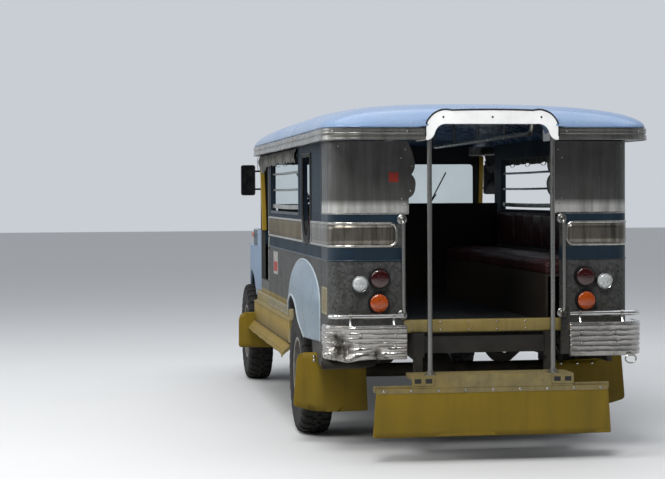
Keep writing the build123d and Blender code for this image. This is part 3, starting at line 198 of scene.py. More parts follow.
def paint(name, base, rough=0.35, fade=None, chip=None, chip_amount=0.0, dirt=0.5, top=0.9, coat=0.0, metal=0.0, drop=0.12):
    """Faded paint: slow colour drift, speckle, chips, runs and road dirt."""
    M = Mat(name)
    fade = fade or tuple(min(1.0, c * 1.35 + 0.03) for c in base)
    drift = M.ramp(M.noise(2.3, 5.0, 0.6), [(0.32, 0.0), (0.7, 1.0)])
    col = M.mix(drift, base, fade)
    col = M.mix(M.math("MULTIPLY", runs(M), drop), col, tuple(c * 0.35 for c in base))
    speck = M.ramp(M.noise(90.0, 3.0, 0.7), [(0.62, 0.0), (0.72, 1.0)])
    col = M.mix(M.math("MULTIPLY", speck, 0.15), col, (0.16, 0.145, 0.12))
    r = M.math("ADD", M.math("MULTIPLY", M.noise(14.0, 5.0, 0.6), 0.30), rough - 0.13)
    h = M.noise(160.0, 2.0, 0.5)
    if chip is not None and chip_amount > 0:
        c = M.ramp(M.noise(23.0, 8.0, 0.72, dist=0.6), [(0.70 - chip_amount * 0.12, 0.0), (0.715 - chip_amount * 0.12, 1.0)])
        col = M.mix(c, col, chip)
        r = M.math("ADD", r, M.math("MULTIPLY", c, 0.25), clamp=True)
        h = M.math("SUBTRACT", h, M.math("MULTIPLY", c, 1.2))
    d = M.math("MULTIPLY", low_dirt(M, top), dirt, clamp=True)
    col = M.mix(d, col, DUST)
    r = M.math("ADD", r, M.math("MULTIPLY", d, 0.4), clamp=True)
    return M.out(col, r, metal, M.bump(h, 0.12, 0.0008), **({"Coat Weight": coat, "Coat Roughness": 0.12} if coat else {}))


def steel(name, base, rough=0.35, brush=(1.0, 1.0, 0.02), metal=0.95, stain=0.5, dirt=0.4, top=0.9, dent=0.0, dark=(0.055, 0.050, 0.042), streak=26.0):
    """Bare sheet: brushed grain along one way, water stains, grime and dents."""
    M = Mat(name)
    grain = M.noise(420.0, 2.0, 0.5, stretch=brush)
    cloud = M.ramp(M.noise(3.1, 6.0, 0.62), [(0.35, 0.0), (0.72, 1.0)])
    col = M.mix(cloud, base, tuple(c * 0.74 for c in base))
    col = M.mix(M.math("MULTIPLY", runs(M, streak, (0.46, 0.74)), stain), col, dark)
    spot = M.ramp(M.noise(55.0, 6.0, 0.7), [(0.60, 0.0), (0.70, 1.0)])
    col = M.mix(M.math("MULTIPLY", spot, stain * 0.45), col, dark)
    d = M.math("MULTIPLY", low_dirt(M, top), dirt, clamp=True)
    col = M.mix(d, col, DUST)
    r = M.math("ADD", M.math("MULTIPLY", grain, 0.16), rough - 0.08)
    r = M.math("ADD", r, M.math("MULTIPLY", cloud, 0.14))
    r = M.math("ADD", r, M.math("MULTIPLY", d, 0.45), clamp=True)
    nrm = M.bump(grain, 0.10, 0.0005)
    if dent:
        nrm = M.bump(M.noise(5.5, 2.0, 0.5), dent, 0.02, under=nrm)
    return M.out(col, r, M.math("SUBTRACT", metal, M.math("MULTIPLY", d, 0.7), clamp=True), nrm)


# ---- colours read from the object, linear ----
NAVY = (0.005, 0.013, 0.023)
GALV = (0.046, 0.047, 0.045)
STEEL = (0.145, 0.145, 0.138)
ROOF_BLUE = (0.125, 0.215, 0.39)
LIGHT_BLUE = (0.165, 0.215, 0.26)
CAB_BLUE = (0.155, 0.235, 0.35)
YELLOW = (0.215, 0.155, 0.036)
OLIVE = (0.155, 0.105, 0.006)


def body_sheet(name, corner):
    """Body skin: galvanised below the belt, navy bands, then steel (corner) or navy (side)."""
    M = Mat(name)
    z, y = M.xyz(2), M.xyz(1)
    cloud = M.ramp(M.noise(2.6, 6.0, 0.62), [(0.30, 0.0), (0.72, 1.0)])
    span = M.ramp(M.voronoi(70.0, out="Color"), [(0.1, 0.52), (0.9, 1.55)])
    galv = M.mix(cloud, GALV, tuple(c * 1.45 for c in GALV))
    galv = M.mix(0.85, galv, M.mix(1.0, galv, span, "MULTIPLY"))
    galv = M.mix(M.math("MULTIPLY", runs(M, 20.0, (0.45, 0.8)), 0.6), galv, (0.030, 0.028, 0.025))
    spots = M.ramp(M.noise(38.0, 7.0, 0.72), [(0.60, 0.0), (0.69, 1.0)])
    galv = M.mix(M.math("MULTIPLY", spots, 0.4), galv, (0.11, 0.107, 0.10))
    # navy bands, rubbed through in spots
    navy = M.mix(M.ramp(M.noise(4.0, 5.0, 0.6), [(0.3, 0.0), (0.75, 1.0)]), NAVY, (0.011, 0.027, 0.044))
    navy = M.mix(M.math("MULTIPLY", runs(M, 30.0), 0.5), navy, (0.022, 0.024, 0.024))
    rub = M.ramp(M.noise(60.0, 6.0, 0.72), [(0.66, 0.0), (0.69, 1.0)])
    navy = M.mix(M.math("MULTIPLY", rub, 0.40), navy, (0.07, 0.08, 0.085))
    bands = M.math("ADD", M.band(z, 1.091, 1.160), M.band(z, 1.292, 1.348), clamp=True)
    if corner:
        grain = M.noise(420.0, 2.0, 0.5, stretch=(1.0, 1.0, 0.02))
        st = M.mix(cloud, STEEL, tuple(c * 0.55 for c in STEEL))
        # painted reflection: the bare steel is near-white along its foot, below z 1.385 to 1.425
        st = M.mix(M.math("SUBTRACT", 1.0, M.span(z, 1.385, 1.425)), st, (0.62, 0.61, 0.58))
        st = M.mix(M.math("MULTIPLY", runs(M, 24.0, (0.42, 0.74)), 0.62), st, (0.045, 0.043, 0.038))
        st = M.mix(M.math("MULTIPLY", M.ramp(M.noise(48.0, 6.0, 0.75), [(0.60, 0.0), (0.68, 1.0)]), 0.45), st, (0.05, 0.047, 0.042))
        up = M.span(z, 1.3455, 1.3465)
    else:
        grain = M.noise(200.0, 2.0, 0.5)
        st = navy
        up = M.span(z, 1.3455, 1.3465)
    col = M.mix(bands, galv, navy)
    col = M.mix(up, col, st)
    # yellow along the low edge ahead of the rear wheel
    if not corner:
        low = M.math("MULTIPLY", M.math("SUBTRACT", 1.0, M.span(z, 0.764, 0.766)), M.math("SUBTRACT", 1.0, M.span(y, 0.76, 0.762)))
        yel = M.mix(M.noise(5.0, 5.0), YELLOW, tuple(c * 0.7 for c in YELLOW))
        col = M.mix(low, col, yel)
    d = M.math("MULTIPLY", low_dirt(M, 0.98, 0.5), 0.75, clamp=True)
    col = M.mix(d, col, (0.060, 0.052, 0.040))
    metal_up = 0.92 if corner else 0.0
    painted = M.math("ADD", bands, M.math("MULTIPLY", up, 1.0 - metal_up), clamp=True)
    met = M.math("MULTIPLY", M.math("SUBTRACT", 1.0, painted), M.math("ADD", M.math("MULTIPLY", up, 0.60), 0.30), clamp=True)
    met = M.math("SUBTRACT", met, M.math("MULTIPLY", d, 0.4), clamp=True)
    r = M.math("ADD", 0.44, M.math("MULTIPLY", cloud, 0.14))
    r = M.math("SUBTRACT", r, M.math("MULTIPLY", bands, 0.16 if corner else -0.14))
    r = M.math("SUBTRACT", r, M.math("MULTIPLY", up, 0.12 if corner else -0.10))
    r = M.math("ADD", r, M.math("MULTIPLY", grain, 0.10))
    r = M.math("ADD", r, M.math("MULTIPLY", d, 0.25), clamp=True)
    nrm = M.bump(grain, 0.10, 0.0005)
    nrm = M.bump(M.noise(4.2, 2.0, 0.45), 0.22, 0.03, under=nrm)
    return M.out(col, r, met, nrm)


def plain(name, base, rough=0.5, metal=0.0, grain=120.0, depth=0.15, vary=0.25, dirt=0.5, top=0.8, **more):
    M = Mat(name)
    drift = M.ramp(M.noise(4.0, 6.0, 0.62), [(0.3, 0.0), (0.7, 1.0)])
    col = M.mix(M.math("MULTIPLY", drift, vary * 2), base, tuple(min(1, c * 1.7 + 0.005) for c in base))
    d = M.math("MULTIPLY", low_dirt(M, top), dirt, clamp=True)
    col = M.mix(d, col, DUST)
    g = M.noise(grain, 4.0, 0.6)
    r = M.math("ADD", M.math("MULTIPLY", g, 0.25), rough - 0.12)
    r = M.math("ADD", r, M.math("MULTIPLY", d, 0.3), clamp=True)
    return M.out(col, r, metal, M.bump(g, depth, 0.001), **more)


m_side = body_sheet("side_sheet", False)
m_corner = body_sheet("corner_sheet", True)
m_rail = steel("rail_steel", (0.34, 0.335, 0.31), 0.22, (0.02, 0.02, 1.0), 0.95, 0.60, 0.0)
m_step = paint("step_face_paint", (0.190, 0.122, 0.010), 0.55, (0.215, 0.150, 0.026), (0.075, 0.050, 0.030), 0.34, 0.25, 0.70, drop=0.03)
# painted reflection: brown tint and dark brown vertical streaks stand in for the surroundings mirrored in the side
# belt's bare steel
m_belt_side_reflection = steel("belt_side_painted_reflection", (0.120, 0.098, 0.058), 0.50, (1.0, 1.0, 0.02), 0.30, 0.95, 0.0, dark=(0.040, 0.026, 0.010), streak=30.0)
# painted shade: near-black brown for the shadow in the fold above the step's flared lip
m_groove_shade = paint("step_groove_painted_shade", (0.030, 0.024, 0.012), 0.7, (0.040, 0.032, 0.018), dirt=0.3)
m_belt = steel("belt_steel", (0.225, 0.205, 0.175), 0.25, (1.0, 1.0, 0.02), 0.95, 0.95, 0.0, dark=(0.034, 0.029, 0.021), streak=30.0)
m_bright = steel("bright_steel", (0.62, 0.62, 0.60), 0.15, (1.0, 1.0, 1.0), 1.0, 0.22, 0.1, dent=0.10)
# painted highlight: near-white and non-metallic, the sun's glare on the polished arch is painted into its colour
m_arch_glare = steel("arch_painted_glare", (0.98, 0.98, 0.97), 0.34, (0.03, 1.0, 1.0), 0.0, 0.02, 0.0)
m_mould = steel("moulding_steel", (0.46, 0.45, 0.42), 0.20, (0.05, 0.05, 1.0), 1.0, 0.40, 0.0)
def bumper_steel(name):
    """Thin bright sheet, scuffed, with dark dirt caught in the knocks at the left corner."""
    M = Mat(name)
    grain = M.noise(420.0, 2.0, 0.5, stretch=(0.02, 0.02, 1.0))
    cloud = M.ramp(M.noise(5.0, 6.0, 0.65), [(0.35, 0.0), (0.70, 1.0)])
    col = M.mix(cloud, (0.52, 0.50, 0.475), (0.24, 0.23, 0.215))
    spot = M.ramp(M.noise(48.0, 7.0, 0.74), [(0.58, 0.0), (0.68, 1.0)])
    col = M.mix(M.math("MULTIPLY", spot, 0.4), col, (0.06, 0.054, 0.045))
    x, y, z = M.xyz(0), M.xyz(1), M.xyz(2)
    total = None
    for cx, cy, cz, r in ((0.845, 2.655, 0.640, 0.085), (0.790, 2.685, 0.615, 0.060), (0.62, 2.685, 0.575, 0.05)):
        dx = M.math("SUBTRACT", x, cx)
        dy = M.math("SUBTRACT", y, cy)
        dz = M.math("SUBTRACT", z, cz)
        d2 = M.math("ADD", M.math("ADD", M.math("MULTIPLY", dx, dx), M.math("MULTIPLY", dy, dy)), M.math("MULTIPLY", dz, dz))
        near = M.math("SUBTRACT", 1.0, M.span(d2, 0.0, r * r))
        total = near if total is None else M.math("MAXIMUM", total, near)
    grime = M.math("MULTIPLY", M.ramp(M.noise(26.0, 6.0, 0.7), [(0.30, 0.0), (0.62, 1.0)]), M.math("ADD", M.math("MULTIPLY", total, 1.5), 0.10), clamp=True)
    col = M.mix(grime, col, (0.026, 0.021, 0.015))
    low = M.math("MULTIPLY", M.math("SUBTRACT", 1.0, M.span(z, 0.555, 0.66)), 0.35)
    col = M.mix(M.math("MULTIPLY", low, M.noise(30.0, 4.0)), col, (0.06, 0.05, 0.04))
    r = M.math("ADD", M.math("MULTIPLY", cloud, 0.14), 0.16)
    r = M.math("ADD", r, M.math("MULTIPLY", grime, 0.45), clamp=True)
    nrm = M.bump(grain, 0.08, 0.0005)
    nrm = M.bump(M.noise(9.0, 3.0, 0.5), 0.35, 0.012, under=nrm)
    return M.out(col, r, M.math("SUBTRACT", 0.97, M.math("MULTIPLY", grime, 0.8), clamp=True), nrm)


m_bumper = bumper_steel("bumper_steel")
m_tube = steel("handrail_steel", (0.36, 0.36, 0.34), 0.24, (1.0, 1.0, 0.05), 1.0, 0.35, 0.2)
m_roof = paint("roof_paint", ROOF_BLUE, 0.24, (0.19, 0.27, 0.40), (0.34, 0.38, 0.41), 0.40, 0.0, coat=0.25, drop=0.0)
m_blue = paint("fender_paint", LIGHT_BLUE, 0.30, (0.15, 0.19, 0.225), (0.09, 0.055, 0.03), 0.22, 0.75, 0.5, drop=0.30)
m_bead = paint("bead_paint", (0.32, 0.38, 0.42), 0.26, (0.38, 0.43, 0.46), (0.10, 0.055, 0.03), 0.55, 0.6, 0.95, drop=0.1)
m_navy = paint("navy_paint", NAVY, 0.34, (0.014, 0.030, 0.048), (0.12, 0.125, 0.125), 0.18, 0.5, 0.9)
m_yellow = paint("step_paint", YELLOW, 0.48, (0.25, 0.205, 0.085), (0.085, 0.06, 0.035), 0.30, 0.85, 0.85, drop=0.5)
m_post = paint("post_paint", (0.30, 0.18, 0.010), 0.40, (0.36, 0.25, 0.04), (0.08, 0.06, 0.04), 0.2, 0.2)
m_chassis = plain("chassis_paint", (0.008, 0.0078, 0.0075), 0.62, 0.0, 60.0, 0.3, 0.5, 0.9, 0.75)
m_engine = plain("engine_iron", (0.008, 0.0075, 0.007), 0.60, 0.4, 40.0, 0.4, 0.5, 0.5, 0.9)
m_dark = plain("dark_paint", (0.008, 0.009, 0.010), 0.38, 0.0, 140.0, 0.10, 0.4, 0.3, 0.8)
m_rubber = plain("black_rubber", (0.005, 0.005, 0.005), 0.62, 0.0, 220.0, 0.25, 0.5, 0.4, 0.7)
m_grip = plain("grip_plastic", (0.010, 0.010, 0.010), 0.42, 0.0, 300.0, 0.10, 0.4, 0.0)
# painted shade: the bench ply is kept near-black for the shade inside the covered cabin
m_wood = Mat("seat_ply")
_g = m_wood.noise(7.0, 8.0, 0.6, stretch=(6.0, 0.5, 6.0), dist=1.2)
m_wood = m_wood.out(m_wood.ramp(_g, [(0.25, (0.014, 0.012, 0.010)), (0.55, (0.028, 0.022, 0.017)), (0.8, (0.046, 0.036, 0.028))]),
                    m_wood.math("ADD", m_wood.math("MULTIPLY", _g, 0.2), 0.38), 0.0, m_wood.bump(_g, 0.15, 0.001))


def checker_plate(name, base, metal=0.7):
    """Tread plate: short raised lozenges in rows."""
    M = Mat(name)
    a = M.wave(19.0, (1.0, 1.0, 1.0), "DIAGONAL")
    rows = M.math("MULTIPLY", M.ramp(M.wave(28.0, (1, 1, 0), "X"), [(0.62, 0.0), (0.78, 1.0)]),
                  M.ramp(M.wave(28.0, (1, 1, 0), "Y"), [(0.35, 0.0), (0.55, 1.0)]))
    wear = M.ramp(M.noise(5.0, 6.0, 0.65), [(0.35, 0.0), (0.7, 1.0)])
    col = M.mix(wear, base, tuple(c * 0.45 for c in base))
    col = M.mix(M.math("MULTIPLY", rows, 0.5), col, tuple(min(1, c * 1.6) for c in base))
    g = M.noise(90.0, 5.0, 0.7)
    col = M.mix(M.math("MULTIPLY", M.ramp(g, [(0.5, 0.0), (0.7, 1.0)]), 0.4), col, DUST)
    r = M.math("ADD", M.math("MULTIPLY", g, 0.3), 0.36)
    return M.out(col, r, metal, M.bump(rows, 0.7, 0.003, under=M.bump(g, 0.2, 0.001)))


m_floor = checker_plate("tread_plate", (0.05, 0.05, 0.049))

M = Mat("rubber_flap")
_n = M.ramp(M.noise(4.5, 6.0, 0.65), [(0.3, 0.0), (0.72, 1.0)])
_c = M.mix(_n, OLIVE, (0.215, 0.140, 0.007))
_c = M.mix(M.math("MULTIPLY", runs(M, 14.0, (0.45, 0.8)), 0.45), _c, (0.065, 0.050, 0.012))
_c = M.mix(M.math("MULTIPLY", M.ramp(M.noise(60.0, 6.0, 0.7), [(0.6, 0.0), (0.7, 1.0)]), 0.35), _c, (0.055, 0.045, 0.022))
_d = M.math("MULTIPLY", low_dirt(M, 0.50, 0.35), 0.65, clamp=True)
m_flap = M.out(M.mix(M.math("MULTIPLY", _d, 0.6), _c, (0.050, 0.040, 0.018)), M.math("ADD", M.math("MULTIPLY", _n, 0.2), 0.50), 0.0,
               M.bump(M.noise(150.0, 3.0, 0.6), 0.25, 0.001))

M = Mat("tyre_rubber")
_n = M.noise(30.0, 6.0, 0.65)
_c = M.mix(M.ramp(_n, [(0.35, 0.0), (0.75, 1.0)]), (0.006, 0.006, 0.006), (0.024, 0.022, 0.019))
m_tyre = M.out(_c, M.math("ADD", M.math("MULTIPLY", _n, 0.25), 0.60), 0.0, M.bump(M.noise(240.0, 3.0, 0.6), 0.3, 0.001))

M = Mat("rim_paint")
_n = M.ramp(M.noise(9.0, 7.0, 0.68), [(0.35, 0.0), (0.70, 1.0)])
_c = M.mix(_n, (0.22, 0.215, 0.20), (0.10, 0.085, 0.065))
_c = M.mix(M.math("MULTIPLY", M.ramp(M.noise(55.0, 5.0, 0.7), [(0.60, 0.0), (0.66, 1.0)]), 0.7), _c, (0.11, 0.06, 0.03))
m_rim = M.out(_c, M.math("ADD", M.math("MULTIPLY", _n, 0.25), 0.42), 0.15, M.bump(M.noise(120.0, 3.0, 0.6), 0.2, 0.001))


def glass(name, tint=(0.80, 0.88, 0.88), rough=0.03):
    M = Mat(name)
    n = M.ramp(M.noise(3.0, 6.0, 0.65), [(0.35, 0.0), (0.8, 1.0)])
    r = M.math("ADD", M.math("MULTIPLY", n, 0.10), rough)
    M.m.use_backface_culling = False
    return M.out(M.mix(n, tint, tuple(c * 0.85 for c in tint)), r, 0.0, M.bump(M.noise(2.0, 2.0), 0.02, 0.01),
                 **{"Transmission Weight": 1.0, "IOR": 1.45, "Specular IOR Level": 0.5})


m_glass = glass("window_glass")


def lens(name, color, flutes=True):
    """Moulded lens: fine prisms under a glossy face, faint dust over it."""
    M = Mat(name)
    p = M.voronoi(110.0, out="Distance")
    n = M.ramp(M.noise(18.0, 5.0, 0.6), [(0.3, 0.0), (0.7, 1.0)])
    col = M.mix(M.math("MULTIPLY", p, 0.9, clamp=True), color, tuple(c * 0.35 for c in color))
    col = M.mix(M.math("MULTIPLY", n, 0.04), col, (0.10, 0.08, 0.065))
    r = M.math("ADD", M.math("MULTIPLY", n, 0.16), 0.08)
    return M.out(col, r, 0.0, M.bump(p, 0.5 if flutes else 0.1, 0.002), **{"Coat Weight": 0.8, "Coat Roughness": 0.05, "Specular IOR Level": 0.5})


m_red = lens("lens_red", (0.040, 0.0012, 0.0015))
m_amber = lens("lens_amber", (0.50, 0.075, 0.002))
m_clear = lens("lens_clear", (0.60, 0.62, 0.62))

# painted shade: the seat vinyl is darkened for the shade inside the covered cabin
M = Mat("seat_vinyl")
_n = M.voronoi(260.0, out="Distance")
_w = M.ramp(M.noise(3.5, 6.0, 0.65), [(0.35, 0.0), (0.75, 1.0)])
_c = M.mix(_w, (0.036, 0.008, 0.008), (0.020, 0.006, 0.006))
_c = M.mix(M.math("MULTIPLY", M.ramp(M.noise(40.0, 5.0, 0.7), [(0.62, 0.0), (0.72, 1.0)]), 0.3), _c, (0.07, 0.045, 0.038))
m_vinyl = M.out(_c, M.math("ADD", M.math("MULTIPLY", _w, 0.2), 0.36), 0.0, M.bump(_n, 0.25, 0.0008))

# painted shade: the piping is darkened with the seat vinyl
M = Mat("piping_vinyl")
_w = M.noise(30.0, 4.0, 0.6)
m_piping = M.out(M.mix(_w, (0.04, 0.012, 0.012), (0.08, 0.03, 0.03)), M.math("ADD", M.math("MULTIPLY", _w, 0.2), 0.35), 0.0,
                 M.bump(M.noise(300.0, 2.0), 0.2, 0.0005))

M = Mat("curtain_print")
_b = M.ramp(M.voronoi(42.0, out="Distance"), [(0.10, 0.0), (0.45, 1.0)])
_n = M.ramp(M.noise(24.0, 6.0, 0.7), [(0.42, 0.0), (0.60, 1.0)])
_c = M.mix(_n, (0.026, 0.027, 0.018), (0.088, 0.086, 0.062))
_c = M.mix(M.math("MULTIPLY", _b, 0.5), _c, (0.012, 0.013, 0.009))
m_curtain = M.out(_c, M.math("ADD", M.math("MULTIPLY", _n, 0.1), 0.78), 0.0,
                  M.bump(M.math("ADD", M.wave(900.0, (1, 1, 0), "Y"), M.wave(900.0, (0, 0, 1), "Z")), 0.15, 0.0004),
                  **{"Sheen Weight": 0.2})


def plate(name, face, edge):
    """Blank enamelled plate, stained and chipped in spots."""
    M = Mat(name)
    n = M.ramp(M.noise(26.0, 6.0, 0.68), [(0.35, 0.0), (0.68, 1.0)])
    c = M.mix(n, face, edge)
    c = M.mix(M.math("MULTIPLY", M.ramp(M.noise(80.0, 6.0, 0.75), [(0.58, 0.0), (0.66, 1.0)]), 0.6), c, (0.10, 0.08, 0.06))
    return M.out(c, M.math("ADD", M.math("MULTIPLY", n, 0.2), 0.42), 0.0, M.bump(n, 0.1, 0.0006))


m_plate = plate("plate_enamel", (0.20, 0.17, 0.085), (0.12, 0.10, 0.055))
m_plate_rim = plate("plate_rim", (0.27, 0.245, 0.16), (0.17, 0.145, 0.09))
m_label = plate("label_paper", (0.34, 0.33, 0.31), (0.22, 0.20, 0.19))
m_label_red = plate("label_red", (0.33, 0.032, 0.020), (0.20, 0.030, 0.022))

# painted reflection: the mirror glass is kept almost black, the dark surroundings it shows painted into its colour
M = Mat("mirror_glass")
_n = M.ramp(M.noise(12.0, 5.0, 0.6), [(0.4, 0.0), (0.8, 1.0)])
m_mirror = M.out(M.mix(_n, (0.035, 0.038, 0.042), (0.070, 0.070, 0.068)), M.math("ADD", M.math("MULTIPLY", _n, 0.2), 0.06), 0.9, M.bump(_n, 0.02, 0.001))

M = Mat("gauge_face")
_n = M.noise(120.0, 3.0, 0.6)
m_gauge = M.out(M.mix(_n, (0.05, 0.05, 0.05), (0.09, 0.09, 0.085)), M.math("ADD", M.math("MULTIPLY", _n, 0.1), 0.2), 0.0, M.bump(_n, 0.05, 0.0005))


def fender_front(name):
    """Front fender: light blue flank, dark grey-blue lamp box above it."""
    M = Mat(name)
    z = M.xyz(2)
    drift = M.ramp(M.noise(2.3, 5.0, 0.6), [(0.32, 0.0), (0.7, 1.0)])
    blue = M.mix(drift, CAB_BLUE, (0.20, 0.27, 0.36))
    blue = M.mix(M.math("MULTIPLY", runs(M), 0.25), blue, (0.055, 0.070, 0.090))
    chip = M.ramp(M.noise(23.0, 8.0, 0.72, dist=0.6), [(0.685, 0.0), (0.70, 1.0)])
    blue = M.mix(chip, blue, (0.08, 0.055, 0.035))
    dark = M.mix(drift, (0.022, 0.050, 0.075), (0.036, 0.068, 0.095))
    up = M.span(z, 1.0655, 1.0665)
    col = M.mix(up, blue, dark)
    d = M.math("MULTIPLY", low_dirt(M, 0.95), 0.75, clamp=True)
    col = M.mix(d, col, DUST)
    r = M.math("ADD", M.math("MULTIPLY", M.noise(14.0, 5.0, 0.6), 0.30), 0.22)
    r = M.math("ADD", r, M.math("MULTIPLY", d, 0.4), clamp=True)
    return M.out(col, r, 0.0, M.bump(M.noise(160.0, 2.0, 0.5), 0.12, 0.0008))


m_fender_front = fender_front("front_fender_paint")


def cab_paint(name):
    """Cab: light blue ahead of the doorway, grey sheet over a yellow edge below it."""
    M = Mat(name)
    y, z = M.xyz(1), M.xyz(2)
    drift = M.ramp(M.noise(2.3, 5.0, 0.6), [(0.32, 0.0), (0.7, 1.0)])
    blue = M.mix(drift, CAB_BLUE, (0.20, 0.27, 0.36))
    blue = M.mix(M.math("MULTIPLY", runs(M), 0.25), blue, (0.055, 0.070, 0.090))
    galv = M.mix(drift, GALV, tuple(c * 1.5 for c in GALV))
    galv = M.mix(M.math("MULTIPLY", runs(M, 20.0, (0.45, 0.8)), 0.6), galv, (0.024, 0.022, 0.020))
    yel = M.mix(M.noise(5.0, 5.0), YELLOW, tuple(c * 0.7 for c in YELLOW))
    galv = M.mix(M.math("SUBTRACT", 1.0, M.span(z, 0.764, 0.766)), galv, yel)
    col = M.mix(M.span(y, -1.106, -1.104), blue, galv)
    d = M.math("MULTIPLY", low_dirt(M, 0.95), 0.75, clamp=True)
    col = M.mix(d, col, DUST)
    r = M.math("ADD", M.math("MULTIPLY", M.noise(14.0, 5.0, 0.6), 0.30), 0.24)
    r = M.math("ADD", r, M.math("MULTIPLY", d, 0.4), clamp=True)
    return M.out(col, r, 0.0, M.bump(M.noise(160.0, 2.0, 0.5), 0.12, 0.0008))


m_cab = cab_paint("cab_paint")

# ------------------------------------------------------------------ CAD nodes
FINISH = {
    "chassis_rails": m_chassis, "cross_members": m_chassis, "leaf_springs": m_chassis, "front_axle_beam": m_chassis, "knuckle_left": m_chassis,
    "knuckle_right": m_chassis, "tie_rod": m_chassis, "rear_axle": m_chassis, "propshaft": m_chassis, "fuel_tank": m_chassis,
    "exhaust_pipe": m_engine, "engine_block": m_engine, "radiator": m_chassis, "floor_deck": m_floor,
    "side_panel_left": m_side, "side_panel_right": m_side, "rear_corners": m_corner, "cab_sides": m_cab,
    "drip_rail": m_rail, "rear_arch": m_arch_glare, "roof_shell": m_roof, "windshield_frame": m_dark, "windshield_glass": m_glass,
    "cowl": m_navy, "hood": m_blue, "grille_shell": m_bright, "front_fenders": m_fender_front, "headlamps": m_bright,
    "rear_fenders": m_blue, "running_boards": m_yellow, "front_bumper": m_bumper, "rear_bumpers": m_bumper,
    "tail_lamps": m_red, "rear_step": m_yellow, "mud_flaps": m_flap, "handrails": m_tube, "window_bars": m_rail,
    "window_curtains": m_curtain, "mirrors": m_dark, "steering_column": m_dark, "steering_wheel": m_grip,
    "seat_frames": m_wood, "seat_pads": m_vinyl,
}
for w in ("front_left", "front_right", "rear_left", "rear_right"):
    FINISH["tyre_" + w] = m_tyre
    FINISH["rim_" + w] = m_rim
for name, obj in NODES.items():
    mat = FINISH[name]
    for i in range(len(obj.material_slots)):
        obj.material_slots[i].material = mat
    if not obj.material_slots:
        obj.data.materials.append(mat)


# ------------------------------------------------------------------ mesh tools
def mesh_object(name, verts, faces, mat, smooth=True, mats=None, face_mats=None):
    me = bpy.data.meshes.new(name)
    me.from_pydata([tuple(map(float, v)) for v in verts], [], [tuple(map(int, f)) for f in faces])
    me.validate()
    bm = bmesh.new()
    bm.from_mesh(me)
    bmesh.ops.remove_doubles(bm, verts=bm.verts, dist=1e-6)
    bmesh.ops.recalc_face_normals(bm, faces=bm.faces)
    bm.to_mesh(me)
    bm.free()
    o = bpy.data.objects.new(name, me)
    bpy.context.scene.collection.objects.link(o)
    for m in ([mat] if mats is None else mats):
        me.materials.append(m)
    if face_mats is not None and len(face_mats) == len(me.polygons):
        for p, i in zip(me.polygons, face_mats):
            p.material_index = i
    for p in me.polygons:
        p.use_smooth = smooth
    return o


def add_mod(o, kind, **kw):
    m = o.modifiers.new(kind.lower(), kind)
    for k, v in kw.items():
        setattr(m, k, v)
    return m


def sharp(o, degrees=35.0):
    """Keeps creases above an angle; smooth elsewhere."""
    me = o.data
    bm = bmesh.new()
    bm.from_mesh(me)
    lim = math.radians(degrees)
    for e in bm.edges:
        e.smooth = not (len(e.link_faces) == 2 and e.calc_face_angle(0) > lim)
    bm.to_mesh(me)
    bm.free()
    return o


def bevelled(o, width=0.002, segments=2, degrees=30.0):
    add_mod(o, "BEVEL", width=width, segments=segments, limit_method="ANGLE", angle_limit=math.radians(degrees))
    return o


def grid_faces(rows, cols, close_rows=False, close_cols=False, base=0):
    f = []
    for i in range(rows if close_rows else rows - 1):
        for j in range(cols if close_cols else cols - 1):
            a = base + i * cols + j
            b = base + i * cols + (j + 1) % cols
            c = base + ((i + 1) % rows) * cols + (j + 1) % cols
            d = base + ((i + 1) % rows) * cols + j
            f.append((a, b, c, d))
    return f


def surface(name, P, mat, thick=0.0, offset=-1.0, close_rows=False, close_cols=False, smooth=True):
    """A sheet from an array of points, rows by columns."""
    P = np.asarray(P, float)
    r, c = P.shape[:2]
    o = mesh_object(name, P.reshape(-1, 3), grid_faces(r, c, close_rows, close_cols), mat, smooth)
    if thick:
        add_mod(o, "SOLIDIFY", thickness=thick, offset=offset)
    return o


def frames(path, up=(0, 0, 1), closed=False):
    """Along, side and up directions at each point of a path; side points right of travel."""
    path = np.asarray(path, float)
    if closed:
        t = np.roll(path, -1, 0) - np.roll(path, 1, 0)
    else:
        t = np.gradient(path, axis=0)
    t /= np.linalg.norm(t, axis=1)[:, None] + 1e-12
    u = np.tile(np.asarray(up, float), (len(path), 1))
    s = np.cross(t, u)
    s /= np.linalg.norm(s, axis=1)[:, None] + 1e-12
    u = np.cross(s, t)
    return t, s, u


def swept(name, path, profile, mat, up=(0, 0, 1), closed=False, closed_profile=True, caps=True, smooth=True, crease=35.0, side_sign=1.0):
    """Sweeps a profile (side, up offsets in metres) along a path."""
    path = np.asarray(path, float)
    t, s, u = frames(path, up, closed)
    prof = np.asarray(profile, float)
    P = path[:, None, :] + side_sign * s[:, None, :] * prof[None, :, 0:1] + u[:, None, :] * prof[None, :, 1:2]
    r, c = P.shape[:2]
    faces = grid_faces(r, c, closed, closed_profile)
    if caps and not closed and closed_profile:
        faces.append(tuple(range(c)))
        faces.append(tuple((r - 1) * c + i for i in range(c)))
    o = mesh_object(name, P.reshape(-1, 3), faces, mat, smooth)
    return sharp(o, crease) if smooth else o


def ring(r, n=12, start=0.0):
    return [(r * math.cos(start + 2 * math.pi * i / n), r * math.sin(start + 2 * math.pi * i / n)) for i in range(n)]


def half_round(r, n=7, squash=0.8):
    return [(r * math.sin(math.pi * i / (n - 1)) * squash, r * math.cos(math.pi * i / (n - 1))) for i in range(n)]


def tube(name, path, r, mat, n=14, closed=False):
    return swept(name, smooth_path(path) if not closed and len(path) > 3 else path, ring(r, n), mat, up=(0.013, 0.021, 1.0) if not _vertical(path) else (1, 0.01, 0),
                 closed=closed)


def _vertical(path):
    p = np.asarray(path, float)
    d = np.abs(p[-1] - p[0])
    return d[2] > 3 * max(d[0], d[1], 1e-6)


